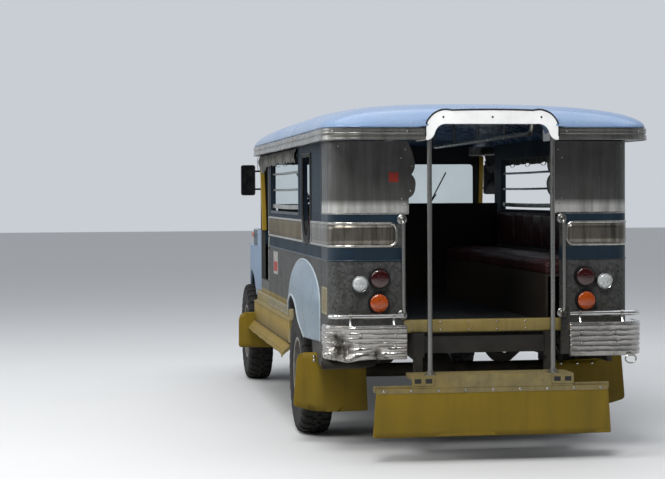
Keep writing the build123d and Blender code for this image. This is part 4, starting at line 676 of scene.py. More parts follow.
def smooth_path(path, n=8):
    """Catmull-Rom through the points."""
    p = np.asarray(path, float)
    q = np.vstack([2 * p[0] - p[1], p, 2 * p[-1] - p[-2]])
    out = []
    for i in range(1, len(q) - 2):
        for k in range(n):
            t = k / n
            out.append(0.5 * ((2 * q[i]) + (-q[i - 1] + q[i + 1]) * t + (2 * q[i - 1] - 5 * q[i] + 4 * q[i + 1] - q[i + 2]) * t * t
                              + (-q[i - 1] + 3 * q[i] - 3 * q[i + 1] + q[i + 2]) * t ** 3))
    out.append(q[-2])
    return np.array(out)


def lathe(name, centre, axis, profile, mat, n=48, x_dir=None, mats=None, which=None):
    """Turns (along, radius) pairs round an axis."""
    a = Vector(axis).normalized()
    x = Vector(x_dir) if x_dir else a.orthogonal()
    x = (x - a * x.dot(a)).normalized()
    y = a.cross(x)
    verts = []
    for k in range(n):
        th = 2 * math.pi * k / n
        rad = x * math.cos(th) + y * math.sin(th)
        for h, r in profile:
            verts.append(Vector(centre) + a * h + rad * r)
    c = len(profile)
    faces = grid_faces(n, c, True, False)
    o = mesh_object(name, verts, faces, mat)
    return sharp(o, 32)


def block(name, lo, hi, mat, bevel=0.003, segments=2):
    x0, y0, z0 = lo
    x1, y1, z1 = hi
    v = [(x0, y0, z0), (x1, y0, z0), (x1, y1, z0), (x0, y1, z0), (x0, y0, z1), (x1, y0, z1), (x1, y1, z1), (x0, y1, z1)]
    f = [(0, 3, 2, 1), (4, 5, 6, 7), (0, 1, 5, 4), (1, 2, 6, 5), (2, 3, 7, 6), (3, 0, 4, 7)]
    o = mesh_object(name, v, f, mat, smooth=False)
    if bevel:
        bevelled(o, bevel, segments)
    return o


def domes(name, spots, mat, r=0.006, h=0.003, n=10):
    """Rivet or screw heads: each spot is (place, outward direction, radius scale)."""
    verts, faces = [], []
    for c, d, k in spots:
        a = Vector(d).normalized()
        x = a.orthogonal().normalized()
        y = a.cross(x)
        base = len(verts)
        for h2, r2 in ((-0.0005, 1.0), (0.45 * h, 0.96), (0.85 * h, 0.62), (h, 0.0)):
            for i in range(n if r2 > 0 else 1):
                th = 2 * math.pi * i / n
                verts.append(Vector(c) + a * h2 * k + (x * math.cos(th) + y * math.sin(th)) * r * r2 * k)
        for lv in range(2):
            for i in range(n):
                faces.append((base + lv * n + i, base + lv * n + (i + 1) % n, base + (lv + 1) * n + (i + 1) % n, base + (lv + 1) * n + i))
        for i in range(n):
            faces.append((base + 2 * n + i, base + 2 * n + (i + 1) % n, base + 3 * n))
    return mesh_object(name, verts, faces, mat)


def body_path(x_end, v_front, side=1, step=0.02, out=0.0, corner=True, v_start=None):
    """Outer skin of the body in plan, from the rear face at x_end round the corner and forwards to v_front."""
    r, X = 0.120, 0.850
    pts = []
    if corner:
        c = X - r
        for x in np.arange(x_end, c, step):
            pts.append((x, Y(0) + out))
        for a in np.linspace(0, math.pi / 2, 13):
            pts.append((c + (r + out) * math.sin(a), Y(0) - r + (r + out) * math.cos(a)))
        v0 = 121.0
    else:
        v0 = v_start
    for v in np.arange(v0 + (20 if corner else 0), v_front, 60.0):
        pts.append((X + out, Y(v)))
    pts.append((X + out, Y(v_front)))
    return [(side * x, y) for x, y in pts]


def on_skin(plan, z):
    return np.array([(x, y, z) for x, y in plan])


def fix(o, body="body", slot=None, *nodes):
    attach(o, body)
    if nodes:
        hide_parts(*nodes)
    return o


SIDES = (("left", 1), ("right", -1))


# ------------------------------------------------------------------ roof
#            station    half width   crown height over the rail
ROOF = np.array([
    (-0.250, 0.715, 0.000), (-0.246, 0.745, 0.015), (-0.222, 0.812, 0.046), (-0.160, 0.868, 0.087), (-0.040, 0.900, 0.117),
    (0.220, 0.902, 0.139), (0.900, 0.902, 0.164), (1.700, 0.902, 0.164), (2.500, 0.902, 0.164), (3.300, 0.902, 0.141),
    (3.600, 0.892, 0.095), (3.690, 0.868, 0.049), (3.714, 0.838, 0.015), (3.718, 0.815, 0.000)])
RAIL_TOP = 1.811


def roof_rows():
    # Catmull-Rom over the table, paced by the chord so the ends stay tight
    q = np.vstack([2 * ROOF[0] - ROOF[1], ROOF, 2 * ROOF[-1] - ROOF[-2]])
    out = []
    for i in range(1, len(q) - 2):
        p0, p1, p2, p3 = q[i - 1], q[i], q[i + 1], q[i + 2]
        d = [max(1e-4, np.linalg.norm(b - a) ** 0.5) for a, b in ((p0, p1), (p1, p2), (p2, p3))]
        t0, t1 = 0.0, d[0]
        t2 = t1 + d[1]
        t3 = t2 + d[2]
        n = 6 if d[1] ** 2 < 0.4 else 10
        for k in range(n):
            t = t1 + (t2 - t1) * k / n
            a1 = (t1 - t) / (t1 - t0) * p0 + (t - t0) / (t1 - t0) * p1
            a2 = (t2 - t) / (t2 - t1) * p1 + (t - t1) / (t2 - t1) * p2
            a3 = (t3 - t) / (t3 - t2) * p2 + (t - t2) / (t3 - t2) * p3
            b1 = (t2 - t) / (t2 - t0) * a1 + (t - t0) / (t2 - t0) * a2
            b2 = (t3 - t) / (t3 - t1) * a2 + (t - t1) / (t3 - t1) * a3
            out.append((t2 - t) / (t2 - t1) * b1 + (t - t1) / (t2 - t1) * b2)
    out.append(ROOF[-1])
    return np.array(out)


R = roof_rows()
ang = np.linspace(-math.pi / 2, math.pi / 2, 61)
P = np.zeros((len(R), len(ang), 3))
for i, (v, w, h) in enumerate(R):
    u = np.sign(ang) * np.abs(np.sin(ang)) ** 0.80
    x = u * w
    z = RAIL_TOP + max(h, 0.0) * np.clip(1 - np.abs(u) ** 2.8, 0, 1) ** (1 / 2.3)
    P[i, :, 0], P[i, :, 1], P[i, :, 2] = x, 2.525 - v, z
# slight hollows between the hoops under the skin
wob = 0.0022 * np.sin((P[:, :, 1] - 0.3) * 2 * math.pi / 0.55) * np.clip((P[:, :, 2] - 1.86) / 0.08, 0, 1)
P[:, :, 2] += wob
near = (np.abs(P[:, :, 0]) < 0.352) & (P[:, :, 1] > 2.525 + 0.226)
P[near, 1] = 2.525 + 0.226
P[:, :, 2] = np.where(near, np.maximum(P[:, :, 2], 1.848), P[:, :, 2])
roof = surface("roof_skin", P, m_roof, thick=0.018, offset=0.0)
roof.data.materials.append(m_roof)
# the skin's under side stays inside the rail
add_mod(roof, "SUBSURF", levels=1, render_levels=1)
fix(roof, "body", "roof_blue", "roof_shell")

def resample_xz(q, n):
    q = np.array(q)
    c = np.concatenate([[0], np.cumsum(np.linalg.norm(np.diff(q, axis=0), axis=1))])
    t = np.linspace(0, c[-1], n)
    return np.stack([np.interp(t, c, q[:, k]) for k in range(2)], 1)


# raised lip behind the arch's face panel
def through(p0, p1, p2, n):
    """Points on the arc from p0 through p1 to p2."""
    (ax, ay), (bx, by), (cx, cy) = p0, p1, p2
    d = 2 * (ax * (by - cy) + bx * (cy - ay) + cx * (ay - by))
    ux = ((ax * ax + ay * ay) * (by - cy) + (bx * bx + by * by) * (cy - ay) + (cx * cx + cy * cy) * (ay - by)) / d
    uy = ((ax * ax + ay * ay) * (cx - bx) + (bx * bx + by * by) * (ax - cx) + (cx * cx + cy * cy) * (bx - ax)) / d
    r = math.hypot(ax - ux, ay - uy)
    a0, a1, a2 = (math.atan2(q[1] - uy, q[0] - ux) for q in (p0, p1, p2))
    while a1 < a0:
        a1 += 2 * math.pi
    while a2 < a0:
        a2 += 2 * math.pi
    if a1 > a2:
        a2 -= 2 * math.pi
    return [(ux + r * math.cos(a), uy + r * math.sin(a)) for a in np.linspace(a0, a2, n)]


def arch_over(out=0.0, foot=1.816, n=16):
    """Outer line of the arch from left foot over the top to the right foot."""
    k = (0.366 + out) / 0.366
    half = through((-0.366 - out, 1.816), (-0.335 * k, 1.873 + out * 0.7), (-0.225, 1.902 + out), n)
    top = through((-0.225, 1.902 + out), (0.0, 1.906 + out), (0.225, 1.902 + out), 9)
    pts = ([(-0.366 - out, foot)] if foot < 1.815 else []) + half + top[1:-1]
    return pts + [(-x, z) for x, z in reversed(half)] + ([(0.366 + out, foot)] if foot < 1.815 else [])


def arch_under(n=10):
    """Inner line of the arch: over the doorway, turning outwards at its feet."""
    foot = through((-0.358, 1.745), (-0.334, 1.757), (-0.320, 1.780), n)
    knee = through((-0.320, 1.780), (-0.300, 1.815), (-0.245, 1.832), n)
    half = foot + knee[1:]
    return half + [(x, 1.832) for x in np.linspace(-0.20, 0.20, 9)] + [(-x, z) for x, z in reversed(half)]


lip = arch_over(-0.0015)
P = np.array([[(x * k, y, z - drop) for x, z in lip] for y, drop, k in
              ((2.7585, 0.0, 1.0), (2.74, 0.0, 1.0), (2.72, 0.002, 0.995), (2.70, 0.006, 0.985), (2.67, 0.015, 0.965), (2.63, 0.034, 0.93))])
fix(surface("roof_arch_lip", P, m_roof, thick=0.012, offset=-1.0), "body", "roof_blue")

# black tube round the bright face panel, a painted shadow in the gap where the panel stands off the roof, and its three
# screws
seam = arch_over(0.0018, 1.765)
fix(swept("arch_gap_shadow", [(x, 2.7745, z) for x, z in seam], ring(0.0046, 8), m_rubber, up=(0, 1, 0.001)), "body", "dark_trim")
fix(domes("arch_screws", [((x, 2.7752, 1.867), (0, 1, 0), 1.0) for x in (-0.27, 0.0, 0.27)], m_dark, 0.006, 0.003), "body", "dark_trim")
# rolled inner edge of the panel
under = resample_xz(arch_under(), 90)
fix(swept("arch_roll", [(x, 2.7712, z + 0.0015) for x, z in under], ring(0.0042, 10), m_arch_glare, up=(0, 1, 0.001)), "body", "stainless")

# ------------------------------------------------------------------ roof rail
def rail_path(inset=0.0, n=14):
    x0, r = 0.910 - inset, 0.190 - inset
    y_r, y_f = 2.775 - inset, 2.525 - 3.720 + inset
    pts = [(x, y_r) for x in np.linspace(0.366, x0 - r, 10)]
    pts += [(x0 - r + r * math.sin(a), y_r - r + r * math.cos(a)) for a in np.linspace(0, math.pi / 2, n)[1:]]
    pts += [(x0, y) for y in np.linspace(y_r - r, y_f + r, 60)[1:]]
    pts += [(x0 - r + r * math.cos(a), y_f + r - r * math.sin(a)) for a in np.linspace(0, math.pi / 2, n)[1:]]
    half = pts[:]
    other = [(-x, y) for x, y in reversed(half)]
    front = [(x, y_f) for x in np.linspace(x0 - r, -(x0 - r), 24)[1:-1]]
    return half + front + other


rail_profile = [(-0.056, 1.811), (-0.004, 1.811), (0.000, 1.8085), (0.0008, 1.796), (-0.0008, 1.788), (0.0008, 1.783), (-0.0045, 1.780), (-0.0052, 1.775),
                (0.0014, 1.7715), (0.0022, 1.7640), (0.0018, 1.7560), (0.0038, 1.7520), (0.0030, 1.7470), (-0.0010, 1.7450), (-0.0060, 1.7465), (-0.0064, 1.7500), (-0.056, 1.7505)]
path = [(x, y, 0.0) for x, y in rail_path()]
wave = 0.0012
rail = swept("roof_rail", path, rail_profile, m_rail, up=(0, 0, 1), side_sign=-1.0, crease=38)
for v in rail.data.vertices:
    k = v.co.x * 9.1 + v.co.y * 6.3
    v.co.z += wave * math.sin(k) * math.sin(v.co.y * 2.1 + 0.6)
fix(rail, "body", "stainless", "drip_rail")
# soffit over the rear corners; its navy is painted shade under the roof's overhang
outer = [p for p in rail_path(0.057) if p[0] >= 0.36 and p[1] > 2.525 - 0.40]
inner_raw = body_path(0.380, 400.0, 1, 0.02, -0.02)
cum = lambda q: np.concatenate([[0], np.cumsum(np.linalg.norm(np.diff(np.array(q), axis=0), axis=1))])
def resample(q, n):
    q = np.array(q); c = cum(q); t = np.linspace(0, c[-1], n)
    return np.stack([np.interp(t, c, q[:, k]) for k in range(q.shape[1])], 1)
a, b = resample(outer, 40), resample(inner_raw, 40)
for name, s in SIDES:
    P = np.array([[(s * p[0], p[1], 1.752), (s * (p[0] + q[0]) / 2, (p[1] + q[1]) / 2, 1.753), (s * q[0], q[1], 1.754)] for p, q in zip(a, b)])
    fix(surface(f"soffit_{name}", P, m_navy, thick=0.008, offset=0.0), "body", "stainless")
# screws along the rail
spots = []
pl = np.array(rail_path())
c = cum(pl)
for t in np.arange(0.10, c[-1], 0.415):
    i = min(len(pl) - 2, int(np.searchsorted(c, t)))
    d = pl[min(i + 1, len(pl) - 1)] - pl[max(i - 1, 0)]
    d = d / np.linalg.norm(d)
    x = np.interp(t, c, pl[:, 0]); y = np.interp(t, c, pl[:, 1])
    nrm = (d[1], -d[0], 0)
    if nrm[0] * x + nrm[1] * (y - 0.8) < 0:
        nrm = (-nrm[0], -nrm[1], 0)
    spots.append(((x + nrm[0] * 0.0012, y + nrm[1] * 0.0012, 1.7925), nrm, 1.0))
fix(domes("rail_screws", spots, m_mould, 0.0055, 0.003), "body", "stainless")


# ------------------------------------------------------------------ belts
def skin_normals(pts, s):
    """Outward directions of the body skin at points on it."""
    c, r = 0.730, 0.120
    out = []
    for x, y, z in pts:
        ax = abs(x)
        if ax <= c + 1e-6 and y > 2.30:
            out.append((0, 1, 0))
        elif y > Y(0) - r and ax > c:
            d = np.array([ax - c, y - (Y(0) - r)])
            d /= np.linalg.norm(d)
            out.append((s * d[0], d[1], 0))
        else:
            out.append((s * 1.0, 0, 0))
    return np.array(out, float)


def swept_n(name, pts, nrm, profile, mat, closed=False, crease=35.0):
    """Profile is (outwards, across) at each point of a line on a surface."""
    pts = np.asarray(pts, float)
    t = (np.roll(pts, -1, 0) - np.roll(pts, 1, 0)) if closed else np.gradient(pts, axis=0)
    t /= np.linalg.norm(t, axis=1)[:, None] + 1e-12
    b = np.cross(t, nrm)
    b /= np.linalg.norm(b, axis=1)[:, None] + 1e-12
    prof = np.asarray(profile, float)
    P = pts[:, None, :] + nrm[:, None, :] * prof[None, :, 0:1] + b[:, None, :] * prof[None, :, 1:2]
    r, c = P.shape[:2]
    faces = grid_faces(r, c, closed, True)
    if not closed:
        faces += [tuple(range(c)), tuple((r - 1) * c + i for i in range(c))]
    return sharp(mesh_object(name, P.reshape(-1, 3), faces, mat), crease)


def belt_loop(plan, z0, z1, r_back, r_front, s):
    """A closed line on the skin: along the plan at z0, back at z1, with rounded ends."""
    plan = np.array(plan)
    c = cum(plan)
    L, h = c[-1], z1 - z0
    uv = []
    def arc(cx, cz, r, a0, a1, n=8):
        return [(cx + r * math.cos(t), cz + r * math.sin(t)) for t in np.linspace(a0, a1, n)]
    uv += arc(r_back, z0 + r_back, r_back, math.pi, 1.5 * math.pi)
    uv += [(u, z0) for u in np.arange(r_back + 0.03, L - r_front - 0.01, 0.03)]
    uv += arc(L - r_front, z0 + r_front, r_front, 1.5 * math.pi, 2 * math.pi)
    uv += arc(L - r_front, z1 - r_front, r_front, 0, 0.5 * math.pi)
    uv += [(u, z1) for u in np.arange(L - r_front - 0.03, r_back + 0.01, -0.03)]
    uv += arc(r_back, z1 - r_back, r_back, 0.5 * math.pi, math.pi)
    pts = np.array([(np.interp(u, c, plan[:, 0]), np.interp(u, c, plan[:, 1]), z) for u, z in uv])
    return pts, skin_normals(pts, s)


def panel_on(plan, z0, z1, s, lift, mat, name, rows=5):
    plan = resample(plan, max(8, int(cum(plan)[-1] / 0.03)))
    zs = np.linspace(z0, z1, rows)
    P = []
    for z in zs:
        pts = np.array([(x, y, z) for x, y in plan])
        P.append(pts + skin_normals(pts, s) * lift)
    return surface(name, np.array(P), mat, thick=0.002, offset=0.0)


MOULD = [(0.0, -0.0075), (0.0042, -0.0062), (0.0068, -0.0028), (0.0072, 0.0), (0.0068, 0.0028), (0.0042, 0.0062), (0.0, 0.0075)]
THIN = [(0.0, -0.0055), (0.003, -0.0045), (0.0048, 0.0), (0.003, 0.0045), (0.0, 0.0055)]
for name, s in SIDES:
    back = body_path(0.482, 772.0, s)
    fore = [(s * 0.850, Y(v)) for v in np.arange(1188.0, 3060.0, 60.0)] + [(s * 0.850, Y(3066.0))]
    for tag, plan in (("back", back), ("fore", fore)):
        fix(panel_on(plan, 1.174, 1.292, s, 0.0022, m_belt if tag == "back" else m_belt_side_reflection, f"belt_{tag}_{name}"), "body", "stainless")
    pts, nr = belt_loop(back, 1.170, 1.296, 0.040, 0.006, s)
    fix(swept_n(f"belt_moulding_back_{name}", pts, nr, MOULD, m_mould, closed=True), "body", "stainless")
    pts, nr = belt_loop(fore, 1.170, 1.296, 0.006, 0.030, s)
    fix(swept_n(f"belt_moulding_fore_{name}", pts, nr, MOULD, m_mould, closed=True), "body", "stainless")
    # thin navy step moulding under the lower band, right along the body
    low = resample(body_path(0.455, 3040.0, s), 90)
    pts = np.array([(x, y, 1.090) for x, y in low])
    tail = [(s * 0.850, Y(3040.0 + 52 * math.sin(a)), 1.090 - 0.052 * (1 - math.cos(a))) for a in np.linspace(0.2, math.pi / 2, 7)]
    tail += [(s * 0.850, Y(3092.0), z) for z in np.linspace(1.02, 0.835, 8)]
    pts = np.vstack([pts, tail])
    fix(swept_n(f"band_step_{name}", pts, skin_normals(pts, s), THIN, m_navy), "body", "dark_trim")
    # bright moulding that sweeps down beside the doorway
    pts = [(s * 0.850, Y(v), 1.150) for v in np.linspace(2990, 3030, 5)]
    pts += [(s * 0.850, Y(3030.0 + 58 * math.sin(a)), 1.150 - 0.10 * (1 - math.cos(a))) for a in np.linspace(0.15, math.pi / 2, 9)]
    pts += [(s * 0.850, Y(3089.0), z) for z in np.linspace(1.03, 0.84, 8)]
    pts = np.array(pts)
    fix(swept_n(f"door_sweep_{name}", pts, skin_normals(pts, s), [(a * 0.8, b * 0.8) for a, b in MOULD], m_mould), "body", "stainless")
    # upright trim at the door's rear post
    pts = np.array([(s * 0.850, Y(3090.0), z) for z in np.linspace(1.12, 1.742, 14)])
    fix(swept_n(f"door_post_trim_{name}", pts, skin_normals(pts, s), THIN, m_rail), "body", "stainless")
    # bright hem along the foot of the scalloped panel
    plan = resample(body_path(0.418, 348.0, s), 40)
    pts = np.array([(x, y, 1.3475) for x, y in plan])
    fix(swept_n(f"corner_hem_{name}", pts, skin_normals(pts, s), [(0, -0.004), (0.0022, -0.003), (0.0026, 0.002), (0, 0.005)], m_mould), "body", "stainless")
    # seam cover where corner and side meet, and the worn edge beside it
    pts = np.array([(s * 0.850, Y(352.0), z) for z in np.linspace(1.350, 1.742, 12)])
    fix(swept_n(f"corner_seam_{name}", pts, skin_normals(pts, s), [(0, -0.010), (0.0025, -0.009), (0.003, 0.009), (0, 0.010)], m_navy), "body", "dark_trim")
    pts = np.array([(s * 0.850, Y(352.0), z) for z in np.linspace(0.565, 1.085, 14)])
    fix(swept_n(f"low_seam_{name}", pts, skin_normals(pts, s), [(0, -0.005), (0.0012, -0.004), (0.0012, 0.004), (0, 0.005)], m_side), "body", "galvanised")

# ------------------------------------------------------------------ windows
def loop_side(pts2, s, x=0.850):
    """Closed line on the side wall from (station, z) pairs."""
    return np.array([(s * x, Y(v), z) for v, z in pts2])


def round_rect(v0, v1, z0, z1, r, n=6):
    out = []
    for cv, cz, a0 in ((v1 - r, z1 - r, 0), (v0 + r, z1 - r, 90), (v0 + r, z0 + r, 180), (v1 - r, z0 + r, 270)):
        for k in range(n + 1):
            a = math.radians(a0 + 90 * k / n)
            out.append((cv + r * math.cos(a), cz + r * math.sin(a)))
    return out


def dense(pts, step=0.03):
    q = np.vstack([pts, pts[:1]])
    c = cum(q)
    t = np.arange(0, c[-1], step)
    keep = sorted(set(np.round(np.concatenate([t, c[:-1]]), 5)))
    return np.stack([np.interp(keep, c, q[:, k]) for k in range(3)], 1)


FRAME_STRIP = [(-0.003, -0.004), (0.004, -0.005), (0.0075, 0.000), (0.0075, 0.012), (0.004, 0.018), (0.0, 0.019), (-0.003, 0.015)]
for name, s in SIDES:
    # narrow window with its round foot
    pts2 = [(790.0, 1.698)]
    pts2 += [(980.0 - 190.0 * math.cos(a), 1.375 - 0.190 * math.sin(a)) for a in np.linspace(0, math.pi, 25)]
    pts2 += [(1170.0, 1.698)]
    pts = dense(loop_side(pts2, s), 0.02)
    n = skin_normals(pts, s)
    prof = FRAME_STRIP if s < 0 else [(a, -b) for a, b in FRAME_STRIP]
    fix(swept_n(f"narrow_window_seal_{name}", pts, n, [(a, -b) for a, b in prof], m_rubber, closed=True), "body", "dark_trim")
    fix(swept_n(f"narrow_window_trim_{name}", dense(loop_side([(768.0, 1.70)] + [(980.0 - 211.0 * math.cos(a), 1.375 - 0.211 * math.sin(a)) for a in np.linspace(0, math.pi, 25)] + [(1192.0, 1.70)], s), 0.02),
                skin_normals(dense(loop_side([(768.0, 1.70)] + [(980.0 - 211.0 * math.cos(a), 1.375 - 0.211 * math.sin(a)) for a in np.linspace(0, math.pi, 25)] + [(1192.0, 1.70)], s), 0.02), s),
                [(a * 1.1, b * 0.55) for a, b in MOULD], m_dark, closed=True), "body", "dark_trim")
    fix(domes(f"narrow_window_screw_{name}", [((s * 0.8575, Y(980.0), 1.158), (s, 0, 0), 1.3)], m_dark), "body", "dark_trim")
    # long window: painted strip frame, sill rail and two bars
    pts = dense(loop_side([(1350.0, 1.345), (1350.0, 1.700), (2900.0, 1.700), (2900.0, 1.345)], s), 0.05)
    prof = [(-0.002, 0.0), (0.006, 0.0), (0.006, 0.014), (0.002, 0.018), (-0.002, 0.018)]
    fix(swept_n(f"long_window_frame_{name}", pts, skin_normals(pts, s), [(a, b if s > 0 else -b) for a, b in prof], m_navy, closed=True), "body", "dark_trim")
    for k, z in enumerate((1.490, 1.600)):
        line = [(s * 0.835, Y(v), z - 0.003 * math.sin(math.pi * (v - 1350) / 1550)) for v in np.linspace(1350, 2900, 24)]
        fix(swept(f"window_bar_{k}_{name}", line, ring(0.008, 10), m_rail), "body", "dark_trim", *(["window_bars"] if (k == 0 and s > 0) else []))
    line = [(s * 0.835, Y(v), 1.378 - 0.004 * math.sin(math.pi * (v - 1350) / 1550)) for v in np.linspace(1350, 2900, 24)]
    fix(swept(f"window_sill_rail_{name}", line, [(-0.008, -0.014), (0.008, -0.014), (0.010, -0.008), (0.010, 0.008), (0.008, 0.014), (-0.008, 0.014)], m_rail), "body", "stainless")

# ------------------------------------------------------------------ rain curtains
def curtain(name, s):
    """Gathered sheet rolled under the rail, hanging in a bunch over the doorway."""
    vs = np.arange(1395.0, 3586.0, 7.0)
    rows = 15
    P = np.zeros((rows, len(vs), 3))
    r2 = np.random.default_rng(77 + s)
    ph = r2.uniform(0, 6.28, 8)
    for j, v in enumerate(vs):
        u = (v - 1395.0) / 1000.0
        fold = sum(math.sin(u * f + p) * a for f, p, a in ((31.0, ph[0], 0.5), (57.0, ph[1], 0.35), (97.0, ph[2], 0.22), (9.0, ph[3], 0.45)))
        droop = math.exp(-((v - 3310.0) / 190.0) ** 4)
        tie = abs(math.sin(math.pi * (u - 0.10) / 0.42)) ** 0.45
        low = 1.662 - 0.010 * tie - 0.044 * droop + 0.006 * fold
        low = max(low, 1.652 - 0.050 * droop)
        for i in range(rows):
            k = i / (rows - 1)
            if k < 0.62:
                q = k / 0.62
                z = 1.744 + (low - 1.744) * q
                x = 0.858 + 0.018 * math.sin(math.pi * q) * (0.6 + 0.4 * tie) + 0.0055 * fold * math.sin(math.pi * min(1, q * 1.4)) + 0.004 * q
            else:
                q = (k - 0.62) / 0.38
                z = low + (0.050 + 0.01 * tie) * q
                x = 0.866 - 0.008 * q + 0.0045 * math.sin(u * 44.0 + ph[4] + 2.0 * q) * (1 - q)
            x = min(max(x, 0.8535), 0.8855)
            P[i, j] = (s * x, Y(v), z)
    return surface(name, P, m_curtain, thick=0.0012, offset=0.0)


def sheet_area(o):
    return sum(p.area for p in o.data.polygons)


for name, s in SIDES:
    c_obj = curtain(f"rain_curtain_{name}", s)
    width = 2.20
    fix(c_obj, "body", "curtain_cloth", *(["window_curtains"] if s > 0 else []))
    c_area = sheet_area(c_obj)
    CURTAIN_FLAT = (width, c_area / width)
    # straps that tie it up
    for v in (1495.0, 1915.0, 2335.0, 2755.0, 3150.0, 3500.0):
        d = 0.044 * math.exp(-((v - 3310.0) / 190.0) ** 4)
        prof = [(s * x, Y(v), z) for x, z in ((0.853, 1.744), (0.870, 1.743), (0.8865, 1.725), (0.8880, 1.69 - d * 0.5), (0.882, 1.652 - d), (0.866, 1.642 - d), (0.853, 1.652 - d * 0.7))]
        fix(swept(f"curtain_strap_{int(v)}_{name}", smooth_path(prof, 5), [(-0.009, -0.0008), (0.009, -0.0008), (0.009, 0.0008), (-0.009, 0.0008)], m_rubber, up=(s, 0.0, 0.3)), "body", "dark_trim")


# ------------------------------------------------------------------ rear bumpers
def bumper_plan(s, n=14):
    x0, r = 0.895, 0.160
    y_b = 2.525 + 0.160
    pts = [(x, y_b) for x in np.linspace(0.455, x0 - r, 14)]
    pts += [(x0 - r + r * math.sin(a), y_b - r + r * math.cos(a)) for a in np.linspace(0, math.pi / 2, n)[1:]]
    pts += [(x0, y) for y in np.linspace(y_b - r, Y(60), 8)[1:]]
    return np.array([(s * x, y) for x, y in pts])


def vnoise(x, y, z, seed=0):
    """Smooth pseudo-random field from a few sines."""
    r2 = np.random.default_rng(seed)
    out = 0.0
    for _ in range(7):
        k = r2.normal(0, 1, 3)
        out = out + np.sin(x * k[0] + y * k[1] + z * k[2] + r2.uniform(0, 6.28))
    return out / 2.6


for name, s in SIDES:
    plan = resample(bumper_plan(s), 110)
    t = np.gradient(plan, axis=0)
    t /= np.linalg.norm(t, axis=1)[:, None]
    nrm = np.stack([t[:, 1], -t[:, 0]], 1)
    if (nrm[0] * np.array([0, 1])).sum() < 0:
        nrm = -nrm
    # profile: lower roll, six ribs, upper flange turned in
    prof = [(-0.030, 0.566), (-0.012, 0.561), (-0.003, 0.566)]
    zs = np.linspace(0.572, 0.738, 61)
    for z in zs:
        k = (z - 0.572) / 0.166 * 6
        prof.append((-0.0052 + 0.0050 * abs(math.sin(math.pi * k)) ** 0.7, z))
    prof += [(-0.003, 0.7425), (-0.010, 0.745), (-0.032, 0.7445)]
    prof = np.array(prof)
    P = np.zeros((len(plan), len(prof), 3))
    for i, (p, q) in enumerate(zip(plan, nrm)):
        for j, (o_, z) in enumerate(prof):
            P[i, j] = (p[0] + q[0] * o_, p[1] + q[1] * o_, z)
    x, y, z = P[:, :, 0], P[:, :, 1], P[:, :, 2]
    inner = np.clip((prof[:, 0] + 0.03) / 0.025, 0, 1)[None, :]
    push = 0.004 * vnoise(x * 11, y * 11, z * 16, 5 + s) + 0.0016 * vnoise(x * 40, y * 40, z * 50, 9 + s)
    if s > 0:
        # a knock at the outer corner, low down, and a smaller one above it
        for cx, cy, cz, rr, dd in ((0.850, 2.645, 0.640, 0.10, 0.032), (0.790, 2.680, 0.612, 0.075, 0.022), (0.893, 2.54, 0.60, 0.10, 0.015), (0.60, 2.685, 0.600, 0.09, 0.012)):
            d2 = (x - cx) ** 2 + (y - cy) ** 2 + ((z - cz) * 1.3) ** 2
            push -= dd * np.exp(-d2 / (2 * (rr * 0.5) ** 2)) * (1 + 0.5 * vnoise(x * 60, y * 60, z * 60, 3))
        z += -0.007 * np.exp(-((x - 0.83) / 0.10) ** 2) * np.exp(-((z - 0.56) / 0.05) ** 2) * (1 + 0.8 * vnoise(x * 30, y * 30, z, 2))
    push = np.minimum(push, 0.0045)
    P[:, :, 0] += nrm[:, None, 0] * push * inner
    P[:, :, 1] += nrm[:, None, 1] * push * inner
    o = surface(f"rear_bumper_{name}", P, m_bumper, thick=0.0022, offset=0.0)
    fix(o, "body", "bright_metal", *(["rear_bumpers"] if s > 0 else []))
    # ends folded in, brackets, bright tube on its stand-offs
    fix(block(f"bumper_end_{name}", (min(s * 0.4545, s * 0.4575), 2.655, 0.566), (max(s * 0.4545, s * 0.4575), 2.682, 0.742), m_bumper, 0.001), "body", "bright_metal")
    for k, x in enumerate((0.52, 0.71)):
        fix(block(f"bumper_bracket_{k}_{name}", (s * x - 0.020, 2.524, 0.640), (s * x + 0.020, 2.657, 0.688), m_chassis, 0.003), "body", "chassis_black")
    fix(block(f"bumper_side_bracket_{name}", (min(s * 0.833, s * 0.866), Y(58), 0.640), (max(s * 0.833, s * 0.866), Y(33), 0.690), m_chassis, 0.003), "body", "chassis_black")
    tb = [(s * 0.470, 2.643, 0.792), (s * 0.60, 2.643, 0.792), (s * 0.72, 2.643, 0.792), (s * 0.806, 2.643, 0.792), (s * 0.830, 2.639, 0.792),
          (s * 0.846, 2.626, 0.792), (s * 0.862, 2.595, 0.792)]
    fix(swept(f"bumper_tube_{name}", smooth_path(tb, 6), ring(0.014, 16), m_bright, crease=60), "body", "bright_metal")
    for end, dirn in ((tb[0], (-s, 0, 0)), (tb[-1], (s * 0.46, -0.89, 0))):
        fix(lathe(f"bumper_tube_cap_{name}_{0 if end is tb[0] else 1}", end, dirn, [(-0.004, 0.0144), (0.002, 0.0144), (0.006, 0.010), (0.0075, 0.0)], m_bright, 20), "body", "bright_metal")
    for x in (0.520, 0.760):
        fix(swept(f"tube_post_{int(x * 1000)}_{name}", [(s * x, 2.643, 0.785), (s * x, 2.646, 0.765), (s * x, 2.660, 0.742)], ring(0.008, 10), m_bright, up=(1, 0, 0)), "body", "bright_metal")
        fix(lathe(f"tube_clamp_{int(x * 1000)}_{name}", (s * x - 0.008, 2.643, 0.792), (1, 0, 0), [(0, 0.0165), (0.001, 0.0178), (0.015, 0.0178), (0.016, 0.0165)], m_mould, 24), "body", "bright_metal")
    fix(domes(f"bumper_bolts_{name}", [((s * x, 2.6862, z), (0, 1, 0), 1.4) for x in (0.52, 0.71) for z in (0.633, 0.690)], m_mould, 0.006, 0.004), "body", "bright_metal")
